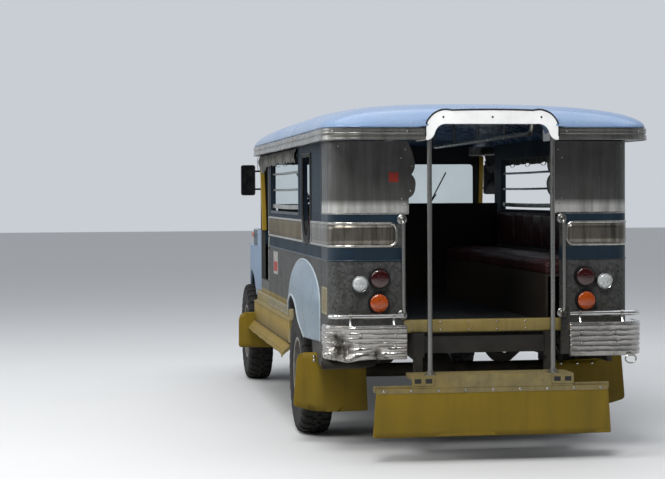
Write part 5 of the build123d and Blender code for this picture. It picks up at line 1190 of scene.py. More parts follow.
# towing ring under the right bumper
rr = [(-0.800 + 0.0305 * math.cos(a), 2.679, 0.541 + 0.0235 * math.sin(a)) for a in np.linspace(0, 2 * math.pi, 36, endpoint=False)]
fix(swept("towing_ring", rr, ring(0.0045, 10), m_mould, up=(0, 1, 0), closed=True), "body", "bright_metal")
fix(block("towing_ring_lug", (-0.815, 2.670, 0.556), (-0.785, 2.690, 0.572), m_mould, 0.002), "body", "bright_metal")


# ------------------------------------------------------------------ tail lamps
def lamp(tag, s, x, z, r, m_lens, m_bezel, screws=3, depth=0.048, dome=0.010):
    c = (s * x, 2.525, z)
    a = (0, 1, 0)
    fix(lathe(f"lamp_base_{tag}", c, a, [(0.0, r), (0.012, r), (depth - 0.020, r * 0.985), (depth - 0.014, r * 0.96), (depth - 0.016, r * 0.88), (0.010, r * 0.86)], m_bezel, 48), "body", "lens")
    p = [(0.012, r * 0.865), (depth - 0.017, r * 0.865)]
    for k in np.linspace(0, 1, 9):
        rr = r * 0.865 * math.cos(k * math.pi / 2) if k < 1 else 0.0
        p.append((depth - 0.017 + 0.004 + dome * math.sin(k * math.pi / 2), max(rr * 0.99, 0.0)))
    fix(lathe(f"lamp_lens_{tag}", c, a, p, m_lens, 56), "body", "lens")
    spots = [((s * x + r * 0.70 * math.cos(q), 2.525 + depth - 0.0105, z + r * 0.70 * math.sin(q)), (0, 1, 0), 1.0) for q in np.linspace(math.pi / 2, 2.5 * math.pi, screws, endpoint=False)]
    if spots:
        fix(domes(f"lamp_screws_{tag}", spots, m_mould, 0.0042, 0.003), "body", "lens")
    for k, f in enumerate((0.30, 0.58)):
        fix(swept(f"lamp_ring_{k}_{tag}", [(s * x + r * f * math.cos(q), 2.525 + depth - 0.0135 + dome * math.cos(f * 1.5) * 0.98, z + r * f * math.sin(q)) for q in np.linspace(0, 2 * math.pi, 40, endpoint=False)],
                  ring(0.0014, 6), m_lens, up=(0, 1, 0), closed=True), "body", "lens")


for name, s in SIDES:
    lamp(f"clear_{name}", s, 0.690, 0.965, 0.0465, m_clear, m_bright, 3, dome=0.014)
    lamp(f"red_{name}", s, 0.580, 0.992, 0.059, m_red, m_rubber, 0)
    lamp(f"amber_{name}", s, 0.585, 0.858, 0.058, m_amber, m_rubber, 3)
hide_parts("tail_lamps")


# ------------------------------------------------------------------ mud flaps
def flap(name, outline, y, mat, body="body", bow=0.006, seed=1, thick=0.007, replaces=()):
    """A rubber sheet from an (x, z) outline, filled, bowed a little."""
    me = bpy.data.meshes.new(name)
    bm = bmesh.new()
    vs = [bm.verts.new((x, y, z)) for x, z in outline]
    bm.faces.new(vs)
    bmesh.ops.triangulate(bm, faces=bm.faces[:])
    bmesh.ops.subdivide_edges(bm, edges=bm.edges[:], cuts=7, use_grid_fill=True)
    xs = [x for x, z in outline]; zs = [z for x, z in outline]
    z_hi, z_lo = max(zs), min(zs)
    for v in bm.verts:
        k = (z_hi - v.co.z) / (z_hi - z_lo)
        v.co.y += bow * k * k * (0.6 + 0.7 * math.sin(v.co.x * 7.3 + seed)) + 0.0016 * math.sin(v.co.x * 31 + v.co.z * 17 + seed) * k
    bm.to_mesh(me)
    bm.free()
    me.materials.append(mat)
    o = bpy.data.objects.new(name, me)
    bpy.context.scene.collection.objects.link(o)
    for p in me.polygons:
        p.use_smooth = True
    add_mod(o, "SOLIDIFY", thickness=thick, offset=0.0)
    return fix(o, body, "flap_yellow", *replaces)


def rounded(pts, radii, n=7):
    """Rounds each corner of a closed outline by its own radius."""
    out = []
    m = len(pts)
    for i in range(m):
        p = np.array(pts[i], float)
        a = np.array(pts[i - 1], float) - p
        b = np.array(pts[(i + 1) % m], float) - p
        la, lb = np.linalg.norm(a), np.linalg.norm(b)
        r = min(radii[i], la * 0.45, lb * 0.45)
        if r < 1e-4:
            out.append(tuple(p))
            continue
        p0, p2 = p + a / la * r, p + b / lb * r
        for t in np.linspace(0, 1, n):
            out.append(tuple((1 - t) ** 2 * p0 + 2 * t * (1 - t) * p + t * t * p2))
    return out


flap("rear_flap", rounded([(-0.640, 0.412), (0.640, 0.412), (0.660, 0.148), (-0.660, 0.148)], (0.004, 0.004, 0.012, 0.012)), 2.773 - 0.004, m_flap, bow=-0.008, seed=0.4, replaces=("mud_flaps",))
for name, s in SIDES:
    o1 = rounded([(s * 0.566, 0.468), (s * 0.818, 0.468), (s * 0.818, 0.480), (s * 0.852, 0.480), (s * 0.852, 0.544), (s * 0.966, 0.544), (s * 0.991, 0.236), (s * 0.880, 0.205), (s * 0.760, 0.198), (s * 0.556, 0.200)],
                 (0.01, 0.0, 0.0, 0.0, 0.0, 0.075, 0.022, 0.060, 0.05, 0.012))
    flap(f"rear_wheel_flap_{name}", o1, Y(552), m_flap, bow=0.010, seed=1.2 + s)
    o2 = rounded([(s * 0.720, 0.478), (s * 0.852, 0.478), (s * 0.852, 0.560), (s * 1.000, 0.560), (s * 1.003, 0.293), (s * 0.720, 0.286)],
                 (0.01, 0.0, 0.0, 0.075, 0.02, 0.02))
    flap(f"front_wheel_flap_{name}", o2, Y(3872), m_flap, bow=0.008, seed=2.7 + s)
    fix(swept(f"flap_hanger_{name}", [(s * 0.700, Y(560), 0.455), (s * 0.700, Y(560), 0.60), (s * 0.700, Y(560), 0.688)], ring(0.009, 12), m_chassis, up=(1, 0, 0)), "body", "chassis_black")
    fix(domes(f"flap_bolts_{name}", [((s * x, Y(547.6), z), (0, 1, 0), 1.6) for x, z in ((0.60, 0.452), (0.70, 0.452), (0.79, 0.452), (0.868, 0.52), (0.868, 0.497))] +
              [((s * x, Y(3867.6), z), (0, 1, 0), 1.4) for x, z in ((0.75, 0.462), (0.83, 0.462), (0.87, 0.53))], m_mould, 0.006, 0.003), "body", "flap_yellow")
# hem strip and bolts of the wide flap
fix(block("rear_flap_strip", (-0.640, 2.7695, 0.384), (0.640, 2.7745, 0.410), m_yellow, 0.0012), "body", "step_yellow")
fix(domes("rear_flap_bolts", [((x, 2.7742, 0.397), (0, 1, 0), 1.3) for x in np.linspace(-0.60, 0.60, 9)], m_mould, 0.006, 0.003), "body", "flap_yellow")
fix(block("rear_flap_hem", (-0.655, 2.7605, 0.150), (0.655, 2.7665, 0.170), m_flap, 0.0015), "body", "flap_yellow")

# hinge plates on the step's lip; their slots are dark blocks, painted shade in the holes
for k, x in enumerate((0.385, -0.385)):
    fix(block(f"step_hinge_{k}", (x - 0.062, 2.7745, 0.424), (x + 0.062, 2.7785, 0.476), m_yellow, 0.0015), "body", "step_yellow")
    for j, dx in enumerate((-0.030, 0.030)):
        fix(block(f"step_slot_{k}_{j}", (x + dx - 0.018, 2.7772, 0.437), (x + dx + 0.018, 2.7790, 0.462), m_dark, 0.0006), "body", "dark_trim")
# raised treads on the step
spots = []
for i in range(30):
    for j in range(5):
        x = -0.42 + i * 0.84 / 29 + (0.014 if j % 2 else 0)
        y = 2.600 + j * 0.036
        spots.append(((x, y, 0.4799), (0, 0, 1), 1.0))
fix(domes("step_treads", spots, m_yellow, 0.0065, 0.0022, 8), "body", "step_yellow")

# ------------------------------------------------------------------ rear fenders
def quarter(foot, crown, n):
    """Quarter of an ellipse from its foot, where it stands upright, to its level crown."""
    (v0, z0), (v1, z1) = foot, crown
    return [(v1 + (v0 - v1) * math.cos(t), z0 + (z1 - z0) * math.sin(t)) for t in np.linspace(0, math.pi / 2, n)]


LEVELS = ((0.0, 405.0, 405.0, 1760.0, 830.0, 1062.0), (25.0, 450.0, 640.0, 1650.0, 820.0, 1045.0), (50.0, 560.0, 880.0, 1500.0, 800.0, 1010.0),
          (68.0, 690.0, 960.0, 1370.0, 790.0, 965.0), (75.0, 800.0, 1000.0, 1250.0, 780.0, 910.0))
C0 = np.array([1065.0, 745.0])


def level_outline(lv, n=28):
    d, v_r, v_low, v_f, z_s, z_t = lv
    m = 1120.0
    out = [(v_low, 450.0 + d), (v_r, z_s)]
    out += quarter((v_r, z_s), (m, z_t), n)[1:]
    out += quarter((v_f, z_s), (m, z_t), n)[::-1][1:]
    out += [(v_f, 450.0 + d)]
    return np.array(out)


def reach(poly, ang):
    """Distance from C0 to the outline along each angle."""
    a = poly - C0
    b = np.roll(a, -1, 0)
    dx, dy = np.cos(ang), np.sin(ang)
    best = np.zeros(len(ang))
    for p, q in zip(a, b):
        e = q - p
        den = dx * e[1] - dy * e[0]
        den = np.where(np.abs(den) < 1e-9, 1e-9, den)
        t = (p[0] * e[1] - p[1] * e[0]) / den
        u = (p[0] * dy - p[1] * dx) / den
        ok = (t > 0) & (u >= -1e-6) & (u <= 1 + 1e-6)
        best = np.where(ok & (t > best), t, best)
    return best


POLYS = [level_outline(lv) for lv in LEVELS]


def bulge(v, z):
    """Height of the fender's skin off the body side, in metres."""
    w = np.stack([v - C0[0], z - C0[1]], -1).reshape(-1, 2)
    ang = np.arctan2(w[:, 1], w[:, 0])
    d = np.linalg.norm(w, axis=1)
    R = [reach(pl, ang) for pl in POLYS]
    rho = d / R[0]
    knots = np.stack([np.zeros(len(d)), R[4] / R[0], R[3] / R[0], R[2] / R[0], R[1] / R[0], np.ones(len(d))], 1)
    vals = np.array([77.0, 75.0, 68.0, 50.0, 25.0, 0.0])
    out = np.array([np.interp(r, k, vals) for r, k in zip(rho, knots)])
    return (out / 1000.0).reshape(np.shape(v))


for name, s in SIDES:
    m, rows = 120, 44
    base = [(405.0, 617.0), (405.0, 700.0)] + [tuple(q) for q in POLYS[0][1:-1]] + [(1760.0, 780.0), (1760.0, 740.0)]
    E = resample(np.array(base), m)
    a0, a1 = math.asin(242.0 / 470.0), math.asin(365.0 / 470.0)
    th = np.linspace(math.pi - a0, a1, m)
    S = np.stack([1150.0 + 470.0 * np.cos(th), 375.0 + 470.0 * np.sin(th)], 1)
    S = np.stack([2 * 1150.0 - S[:, 0], S[:, 1]], 1) if S[0, 0] > S[-1, 0] else S
    ks = np.linspace(0, 1, rows) ** 1.5
    V = E[None, :, 0] * (1 - ks[:, None]) + S[None, :, 0] * ks[:, None]
    Z = E[None, :, 1] * (1 - ks[:, None]) + S[None, :, 1] * ks[:, None]
    H = bulge(V, Z)
    H[0] = 0.0005
    for _ in range(14):
        H[1:-1, 1:-1] = 0.4 * H[1:-1, 1:-1] + 0.15 * (H[:-2, 1:-1] + H[2:, 1:-1] + H[1:-1, :-2] + H[1:-1, 2:])
        H[-1, 1:-1] = 0.5 * H[-1, 1:-1] + 0.25 * (H[-1, :-2] + H[-1, 2:])
        H[1:-1, 0] = 0.5 * H[1:-1, 0] + 0.25 * (H[:-2, 0] + H[2:, 0])
        H[1:-1, -1] = 0.5 * H[1:-1, -1] + 0.25 * (H[:-2, -1] + H[2:, -1])
    H = H + 0.0012 * vnoise(V / 90.0, Z / 90.0, V * 0, 21) * np.clip(ks, 0, 0.5)[:, None]
    H = np.maximum(H, 0.0005)
    P = np.stack([s * (0.850 + H), 2.525 - V / 1000.0, Z / 1000.0], -1)
    lip = P[-1].copy()
    lip[:, 0] -= s * 0.012
    o = surface(f"rear_fender_{name}", np.concatenate([P, lip[None]]), m_blue, thick=0.003, offset=0.0)
    sharp(o, 60)
    fix(o, "body", "fender_blue", *(["rear_fenders"] if s > 0 else []))
    edge = P[-1].copy()
    edge[:, 0] += s * 0.001
    fix(swept(f"fender_bead_{name}", edge, ring(0.0068, 10), m_bead, up=(s, 0, 0.001)), "body", "fender_blue")
    seam = P[0].copy()
    seam[:, 0] = s * 0.8525
    fix(swept(f"fender_seam_{name}", seam, ring(0.0058, 8), m_bead, up=(s, 0, 0.001)), "body", "fender_blue")
    wall_a, wall_b = P[-1].copy(), P[-1].copy()
    wall_a[:, 0] -= s * 0.004
    wall_b[:, 0] = s * 0.8515
    fix(surface(f"fender_liner_{name}", np.stack([wall_a, (wall_a + wall_b) / 2, wall_b]), m_chassis, thick=0.002, offset=0.0), "body", "chassis_black")
    q = np.array([(1150.0 + 428.0 * math.cos(t), 375.0 + 428.0 * math.sin(t)) for t in np.linspace(math.pi * 0.94, math.pi * 0.06, 60)])
    fix(swept(f"arch_edge_{name}", [(s * 0.850, Y(v), z / 1000.0) for v, z in q], ring(0.004, 8), m_chassis, up=(s, 0, 0.001)), "body", "chassis_black")

# ------------------------------------------------------------------ side plates, labels (all blank)
def side_card(name, s, v0, v1, z0, z1, mat, lift=0.0015, x=0.850, rim=None, thick=0.0015):
    lo = (min(s * (x - 0.0005), s * (x + lift)), Y(v1), z0)
    hi = (max(s * (x - 0.0005), s * (x + lift)), Y(v0), z1)
    fix(block(name, lo, hi, mat, 0.0004, 1), "body", "step_yellow")
    if rim:
        pts = dense(loop_side([(v0 + 6, z0 + 0.006), (v0 + 6, z1 - 0.006), (v1 - 6, z1 - 0.006), (v1 - 6, z0 + 0.006)], s, x + lift), 0.05)
        fix(swept_n(name + "_rim", pts, np.tile([s * 1.0, 0, 0], (len(pts), 1)), [(-0.0005, -0.005), (0.0012, -0.004), (0.0012, 0.004), (-0.0005, 0.005)], rim, closed=True), "body", "step_yellow")


for name, s in SIDES:
    side_card(f"plate_rear_{name}", s, 118.0 + 10, 338.0, 0.786, 0.938, m_plate, rim=m_plate_rim)
    side_card(f"plate_long_{name}", s, 1850.0, 3085.0, 0.668, 0.728, m_plate, x=0.858, rim=m_plate_rim)
side_card("label_side", 1, 2530.0, 2790.0, 0.905, 1.062, m_label)
side_card("label_side_red", 1, 2552.0, 2768.0, 0.925, 0.992, m_label_red, lift=0.0022)
fix(block("label_corner", (0.470, 2.5245, 1.521), (0.524, 2.5262, 1.575), m_label_red, 0.0004, 1), "body", "step_yellow")
# screws up the corner panels
spots = []
for name, s in SIDES:
    for x, z in ((0.438, 1.40), (0.432, 1.70), (0.402, 1.47), (0.395, 1.61), (0.455, 1.655), (0.452, 1.43), (0.800, 1.72), (0.80, 1.37)):
        y = 2.5255 if x <= 0.73 else Y(0) - 0.120 + 0.1205 * math.cos(math.asin((x - 0.73) / 0.12))
        nrm = (0, 1, 0) if x <= 0.73 else (s * (x - 0.73) / 0.12, math.cos(math.asin((x - 0.73) / 0.12)), 0)
        spots.append(((s * x, y, z), nrm, 0.9))
fix(domes("corner_screws", spots, m_mould, 0.005, 0.0025), "body", "stainless")


# ------------------------------------------------------------------ tyres
def tyre(tag, s, y0, body):
    """Tyre turned about the axle, with staggered tread blocks and shoulder lugs."""
    cx, cz = s * 0.806, 0.375
    half = [(-0.078, 0.2035), (-0.0825, 0.2075), (-0.084, 0.218), (-0.0835, 0.226), (-0.088, 0.236), (-0.0905, 0.246), (-0.0925, 0.262), (-0.0940, 0.285),
            (-0.0940, 0.302), (-0.0928, 0.318), (-0.0935, 0.3215), (-0.0932, 0.3265), (-0.0900, 0.330), (-0.0865, 0.343), (-0.0800, 0.354), (-0.0700, 0.3605), (-0.055, 0.3640), (-0.030, 0.3655), (0.0, 0.3660)]
    prof = half + [(-a, r) for a, r in reversed(half[:-1])]
    inner = [(0.070, 0.215), (0.060, 0.30), (0.040, 0.345), (0.0, 0.352), (-0.040, 0.345), (-0.060, 0.30), (-0.070, 0.215), (-0.078, 0.2035)]
    o = lathe(f"tyre_{tag}_carcass", (cx, y0, cz), (s, 0, 0), prof + inner, m_tyre, 96, x_dir=(0, 0, -1))
    fix(o, body, "tyre_rubber", f"tyre_{tag}")
    verts, faces = [], []

    def put(a, r, th):
        verts.append((cx + s * a, y0 + r * math.sin(th), cz - r * math.cos(th)))
        return len(verts) - 1

    def strip(rows, w0, w1, th, skew, under):
        """A raised block: rows of (along, radius), half-angles across, leaning by skew."""
        top, low = [], []
        n = len(rows)
        for k, (a, r) in enumerate(rows):
            w = w0 + (w1 - w0) * k / (n - 1)
            c = th + skew * (k / (n - 1) - 0.5)
            top.append((put(a, r, c - w), put(a, r, c + w)))
            low.append((put(a, r - under, c - w * 1.14), put(a, r - under, c + w * 1.14)))
        for k in range(n - 1):
            (a0, b0), (a1, b1) = top[k], top[k + 1]
            (c0, d0), (c1, d1) = low[k], low[k + 1]
            faces.extend([(a0, b0, b1, a1), (c0, a0, a1, c1), (b0, d0, d1, b1)])
        (a0, b0), (c0, d0) = top[0], low[0]
        faces.append((a0, c0, d0, b0))
        (a0, b0), (c0, d0) = top[-1], low[-1]
        faces.append((a0, b0, d0, c0))

    N = 32
    for k in range(N):
        th = 2 * math.pi * k / N
        half_step = math.pi / N
        for side, off in ((1, 0.0), (-1, half_step)):
            rows = [(side * 0.030, 0.3747), (side * 0.052, 0.3742), (side * 0.070, 0.3715), (side * 0.083, 0.3640), (side * 0.0905, 0.3500), (side * 0.0935, 0.3360)]
            strip(rows, 0.054, 0.046, th + off, 0.030 * side, 0.010)
        strip([(-0.022, 0.3748), (0.0, 0.3749), (0.006, 0.3749)], 0.050, 0.062, th + half_step * 0.35, 0.020, 0.010)
        strip([(-0.006, 0.3749), (0.0, 0.3749), (0.022, 0.3748)], 0.062, 0.050, th + half_step * 1.35, 0.020, 0.010)
    lug = mesh_object(f"tyre_{tag}_tread", verts, faces, m_tyre, smooth=False)
    bevelled(lug, 0.0015, 1, 40)
    fix(lug, body, "tyre_rubber")


def wheel_trim(tag, s, y0, body):
    cx, cz = s * 0.806, 0.375
    ax = (s, 0, 0)
    # rolled edges of the rim, nut ring, hub flange and cap, valve
    for k, a in ((0, 0.0800), (1, -0.0800)):
        sg = 1 if a > 0 else -1
        p = [(a - sg * 0.004, 0.1905), (a + sg * 0.002, 0.1905), (a + sg * 0.0045, 0.196), (a + sg * 0.0050, 0.2035), (a + sg * 0.0030, 0.2095), (a + sg * 0.0005, 0.2080), (a - sg * 0.004, 0.2035)]
        fix(lathe(f"rim_edge_{k}_{tag}", (cx, y0, cz), ax, p, m_rim, 72), body, "rim_paint")
    nuts, studs = [], []
    verts, faces = [], []
    for k in range(6):
        th = 2 * math.pi * k / 6 + 0.3
        cy, cz2 = y0 + 0.086 * math.sin(th), cz + 0.086 * math.cos(th)
        base = len(verts)
        for a, r in ((0.0255, 0.0135), (0.0275, 0.0155), (0.0390, 0.0155), (0.0420, 0.0125)):
            for i in range(6):
                q = math.pi / 3 * i
                verts.append((cx + s * a, cy + r * math.cos(q), cz2 + r * math.sin(q)))
        for lv in range(3):
            for i in range(6):
                faces.append((base + lv * 6 + i, base + lv * 6 + (i + 1) % 6, base + (lv + 1) * 6 + (i + 1) % 6, base + (lv + 1) * 6 + i))
        faces.append(tuple(base + 18 + i for i in range(6)))
        studs.append(((cx + s * 0.0425, cy, cz2), ax, 1.0))
    fix(mesh_object(f"wheel_nuts_{tag}", verts, faces, m_engine, smooth=False), body, "engine_grey")
    fix(domes(f"wheel_studs_{tag}", studs, m_mould, 0.0075, 0.005, 12), body, "engine_grey")
    cap = [(0.0255, 0.062), (0.030, 0.060), (0.031, 0.0535), (0.066, 0.0530), (0.0725, 0.0500), (0.0755, 0.042), (0.0772, 0.022), (0.0778, 0.0)]
    fix(lathe(f"hub_cap_{tag}", (cx, y0, cz), ax, cap, m_rim, 48), body, "rim_paint")
    press = [(0.0262, 0.148), (0.0315, 0.144), (0.0335, 0.137), (0.0315, 0.130), (0.0262, 0.126)]
    fix(lathe(f"wheel_bead_{tag}", (cx, y0, cz), ax, press, m_rim, 72), body, "rim_paint")
    fix(swept(f"tyre_valve_{tag}", [(cx + s * 0.030, y0 + 0.158, cz + 0.088), (cx + s * 0.052, y0 + 0.152, cz + 0.085), (cx + s * 0.070, y0 + 0.144, cz + 0.081)],
              ring(0.0042, 8), m_rubber, up=(0, 0, 1)), body, "tyre_rubber")


for tag, s, v in (("front_left", 1, 4400), ("front_right", -1, 4400), ("rear_left", 1, 1150), ("rear_right", -1, 1150)):
    tyre(tag, s, Y(v), "wheel_" + tag)
    wheel_trim(tag, s, Y(v), "wheel_" + tag)


# ------------------------------------------------------------------ cushions
def cushion(name, origin, ax_l, ax_w, ax_t, L, W, T, pitch, body="body", slot="seat_vinyl", nodes=(), crown=0.012, r=0.026, sag=0.0, seed=1):
    """A stuffed pad: crowned face, sides drawn in, sewn channels across it; flat on its board."""
    o_, al, aw, at = (np.array(q, float) for q in (origin, ax_l, ax_w, ax_t))
    g = np.random.default_rng(seed)
    n_l = int(round(L / 0.0085))
    ls = np.linspace(0, L, n_l)
    # section of a rounded box, from the board up one side, over and down
    sec = []
    sec += [(w, 0.0) for w in np.linspace(-0.5 * W + 0.010, 0.5 * W - 0.010, 9)]
    sec += [(0.5 * W - 0.010 + 0.010 * math.sin(a), 0.010 - 0.010 * math.cos(a)) for a in np.linspace(0.3, math.pi / 2, 4)]
    sec += [(0.5 * W, t) for t in np.linspace(0.010, T - r, 5)[1:]]
    sec += [(0.5 * W - r + r * math.cos(a), T - r + r * math.sin(a)) for a in np.linspace(0, math.pi / 2, 8)[1:]]
    sec += [(w, T) for w in np.linspace(0.5 * W - r, -0.5 * W + r, 26)[1:]]
    sec += [(-0.5 * W + r - r * math.sin(a), T - r + r * math.cos(a)) for a in np.linspace(0, math.pi / 2, 8)[1:]]
    sec += [(-0.5 * W, t) for t in np.linspace(T - r, 0.010, 5)[1:]]
    sec += [(-0.5 * W + 0.010 - 0.010 * math.cos(a), 0.010 - 0.010 * math.sin(a)) for a in np.linspace(0.0, math.pi / 2 - 0.3, 4)[1:]]
    sec = np.array(sec)
    n_ch = max(1, int(round(L / pitch)))
    step = L / n_ch
    tall = np.clip(sec[:, 1] / T, 0, 1)
    wide = np.clip(1 - (2 * sec[:, 0] / W) ** 2, 0, 1)
    slack = g.normal(0, 0.0022, n_ch + 1)
    P = np.zeros((n_l, len(sec), 3))
    for i, l in enumerate(ls):
        k = l / step
        near = abs(k - round(k)) * step
        inner = 0 < round(k) < n_ch
        groove = math.exp(-(near / 0.0065) ** 2) if inner else 0.0
        puff = math.sin(math.pi * (k - math.floor(k))) ** 0.6 if 0 <= k < n_ch else 0.0
        # ends turn down over a radius
        e = min(l, L - l)
        turn = 1.0 if e >= r else math.sqrt(max(0.0, 1 - (1 - e / r) ** 2))
        pull = 1 - 0.016 * math.sin(math.pi * l / L) ** 2
        w = sec[:, 0] * pull
        w = np.where(np.abs(sec[:, 0]) > 0.5 * W - r * 1.2, w - np.sign(w) * groove * 0.004 * tall, w)
        if turn < 1:
            w = np.sign(w) * (np.abs(w) - r * 0.35 * (1 - turn) ** 1.4)
        t = sec[:, 1].copy()
        up = tall ** 3
        t = t + up * (crown * wide ** 0.8 * (0.35 + 0.65 * turn) + 0.0045 * puff * wide ** 0.5 - 0.0085 * groove * (0.35 + 0.65 * wide) + slack[int(min(k, n_ch))] * puff * wide)
        t = t - up * sag * wide * np.exp(-((sec[:, 0]) / (0.35 * W)) ** 2) * (0.6 + 0.4 * math.sin(l * 3.1 + seed))
        t = np.where(sec[:, 1] > T * 0.5, T * 0.5 + (t - T * 0.5) * (0.30 + 0.70 * turn), t)
        t = t + up * 0.0012 * np.sin(sec[:, 0] * 55 + l * 23 + seed) * wide
        P[i] = o_ + al * l + w[:, None] * aw + t[:, None] * at
    faces = grid_faces(n_l, len(sec), False, True)
    faces.append(tuple(range(len(sec))))
    faces.append(tuple((n_l - 1) * len(sec) + j for j in range(len(sec))))
    o = mesh_object(name, P.reshape(-1, 3), faces, m_vinyl)
    # inset, puffed end caps
    bm = bmesh.new()
    bm.from_mesh(o.data)
    caps = [f for f in bm.faces if len(f.verts) > 4]
    for f in caps:
        nrm = f.normal.copy()
        res = bmesh.ops.inset_individual(bm, faces=[f], thickness=0.010, depth=0.0)
        for v in f.verts:
            v.co += nrm * 0.004
    bm.to_mesh(o.data)
    bm.free()
    for p in o.data.polygons:
        p.use_smooth = True
    fix(o, body, slot, *nodes)
    # piping round the face, a little inside the corner
    pr = []
    q = 0.5 * W - r * 0.30
    tz = T - r * 0.30
    for l in np.linspace(0.012, L - 0.012, 60):
        e = min(l, L - l)
        turn = 1.0 if e >= r else math.sqrt(max(0.0, 1 - (1 - e / r) ** 2))
        pr.append((l, q * (1 - 0.016 * math.sin(math.pi * l / L) ** 2) - r * 0.35 * (1 - turn) ** 1.4, T * 0.5 + (tz - T * 0.5) * (0.30 + 0.70 * turn)))
    end_a = pr[-1]
    across = [(L - 0.003, w, tz - 0.012) for w in np.linspace(end_a[1] * 0.96, -end_a[1] * 0.96, 14)]
    start = pr[0]
    back = [(0.003, w, tz - 0.012) for w in np.linspace(-start[1] * 0.96, start[1] * 0.96, 14)]
    loop = pr + across + [(l, -w, t) for l, w, t in reversed(pr)] + back
    path = [tuple(o_ + al * l + aw * w + at * t) for l, w, t in loop]
    pp = swept(f"{name}_piping", path, ring(0.0038, 7), m_piping, up=tuple(at * 0.9 + aw * 0.031 + al * 0.017), closed=True)
    fix(pp, body, slot)
    return o


for name, s in SIDES:
    first = ("seat_pads",) if s > 0 else ()
    cushion(f"bench_pad_{name}", (s * 0.5825, Y(2833), 1.0005), (0, 1, 0), (1, 0, 0), (0, 0, 1), 2.676, 0.366, 0.074, 0.335, nodes=first, seed=3 + s, sag=0.006)
    cushion(f"bench_back_{name}", (s * 0.8185, Y(2833), 1.2145), (0, 1, 0), (0, 0, 1), (-s, 0, 0), 2.676, 0.220, 0.040, 0.2433, crown=0.005, r=0.016, seed=7 + s)
    cushion(f"front_pad_{name}", (s * 0.021 if s > 0 else -0.779, Y(3184), 0.9605), (1, 0, 0), (0, 1, 0), (0, 0, 1), 0.758, 0.322, 0.072, 0.126, seed=11 + s, sag=0.004)
    cushion(f"front_back_{name}", (s * 0.021 if s > 0 else -0.779, Y(2945.5), 1.172), (1, 0, 0), (0, 0, 1), (0, -1, 0), 0.758, 0.404, 0.064, 0.126, crown=0.006, r=0.022, seed=15 + s)

# ------------------------------------------------------------------ windshield trims and wipers
for name, s in SIDES:
    cx, cz, hw, hh, r = s * 0.405, 1.465, 0.385, 0.225, 0.035
    base = []
    for qx, qz, a0 in ((1, 1, 0), (-1, 1, 90), (-1, -1, 180), (1, -1, 270)):
        for a in np.linspace(a0, a0 + 90, 8):
            base.append((cx + qx * (hw - r) + r * math.cos(math.radians(a)), cz + qz * (hh - r) + r * math.sin(math.radians(a))))
    loop = []
    for i in range(len(base)):
        p, q = np.array(base[i]), np.array(base[(i + 1) % len(base)])
        m = max(1, int(np.linalg.norm(q - p) / 0.04))
        loop += [tuple(p + (q - p) * k / m) for k in range(m)]
    for face, y, nm in ((-1, Y(3655), "front"), (1, Y(3615), "rear")):
        pts = [(x, y, z) for x, z in loop]
        fix(swept(f"pane_seal_{nm}_{name}", pts, [(0.0055 * math.cos(a) * 1.5, 0.0045 * math.sin(a)) for a in np.linspace(0, 2 * math.pi, 10, endpoint=False)], m_rubber, up=(0, 1, 0), closed=True), "body", "dark_trim")
    # wiper: spindle, arm and blade on the pane
    px = s * 0.36
    sp = (px, Y(3657), 1.215)
    fix(lathe(f"wiper_spindle_{name}", (px, Y(3654), 1.215), (0, -1, 0), [(0, 0.016), (0.010, 0.016), (0.018, 0.010), (0.022, 0.0)], m_dark, 20), "body", "dark_trim")
    tip = (s * 0.50, Y(3652), 1.47)
    fix(swept(f"wiper_arm_{name}", smooth_path([(px, Y(3672), 1.215), (px + s * 0.035, Y(3676), 1.28), (px + s * 0.09, Y(3672), 1.38), (s * 0.50, Y(3668), 1.455)], 5), [(0.004, 0.003), (-0.004, 0.003), (-0.004, -0.003), (0.004, -0.003)], m_dark, up=(0, 1, 0)), "body", "dark_trim")
    b0, b1 = np.array((s * 0.405, Y(3663), 1.30)), np.array((s * 0.575, Y(3663), 1.62))
    bl = [tuple(b0 + (b1 - b0) * k + np.array([0, -0.004 * math.sin(math.pi * k), 0])) for k in np.linspace(0, 1, 12)]
    fix(swept(f"wiper_blade_{name}", bl, [(0.005, 0.004), (-0.005, 0.004), (-0.002, -0.014), (0.002, -0.014)], m_rubber, up=(0, -1, 0)), "body", "dark_trim")
    # edge posts of the windshield, seen through the doorway
    pts = [(s * x, Y(3609), z) for x, z in ((0.826, 1.192), (0.829, 1.32), (0.834, 1.47), (0.838, 1.60), (0.841, 1.742))]
    fix(swept(f"screen_post_{name}", smooth_path(pts, 4), [(0.016, 0.006), (0.012, 0.010), (-0.014, 0.010), (-0.018, 0.006), (-0.018, -0.004), (0.016, -0.004)], m_post, up=(0, 1, 0)), "body", "step_yellow")

# mirror glass and housings
for name, s in SIDES:
    cx, cz, hw, hh, r = s * 0.938, 1.5675, 0.0515, 0.112, 0.014
    def outline(k, rr):
        out = []
        for qx, qz, a0 in ((1, 1, 0), (-1, 1, 90), (-1, -1, 180), (1, -1, 270)):
            for a in np.linspace(a0, a0 + 90, 7):
                out.append((cx + qx * (hw * k - rr) + rr * math.cos(math.radians(a)), cz + qz * (hh - hw * (1 - k) - rr) + rr * math.sin(math.radians(a))))
        return out
    rim = [(x, Y(3711), z) for x, z in outline(0.97, 0.013)]
    fix(swept(f"mirror_edge_{name}", rim, ring(0.0042, 8), m_rubber, up=(0, 1, 0), closed=True), "body", "dark_trim")
    pts = outline(0.88, 0.010)
    rows = []
    for k in (1.0, 0.75, 0.5, 0.25, 0.02):
        rows.append([(cx + (x - cx) * k, Y(3711.2) + 0.0022 * (1 - k * k), cz + (z - cz) * k) for x, z in pts])
    fix(surface(f"mirror_glass_{name}", np.array(rows), m_mirror, close_cols=True), "body", "dark_trim")

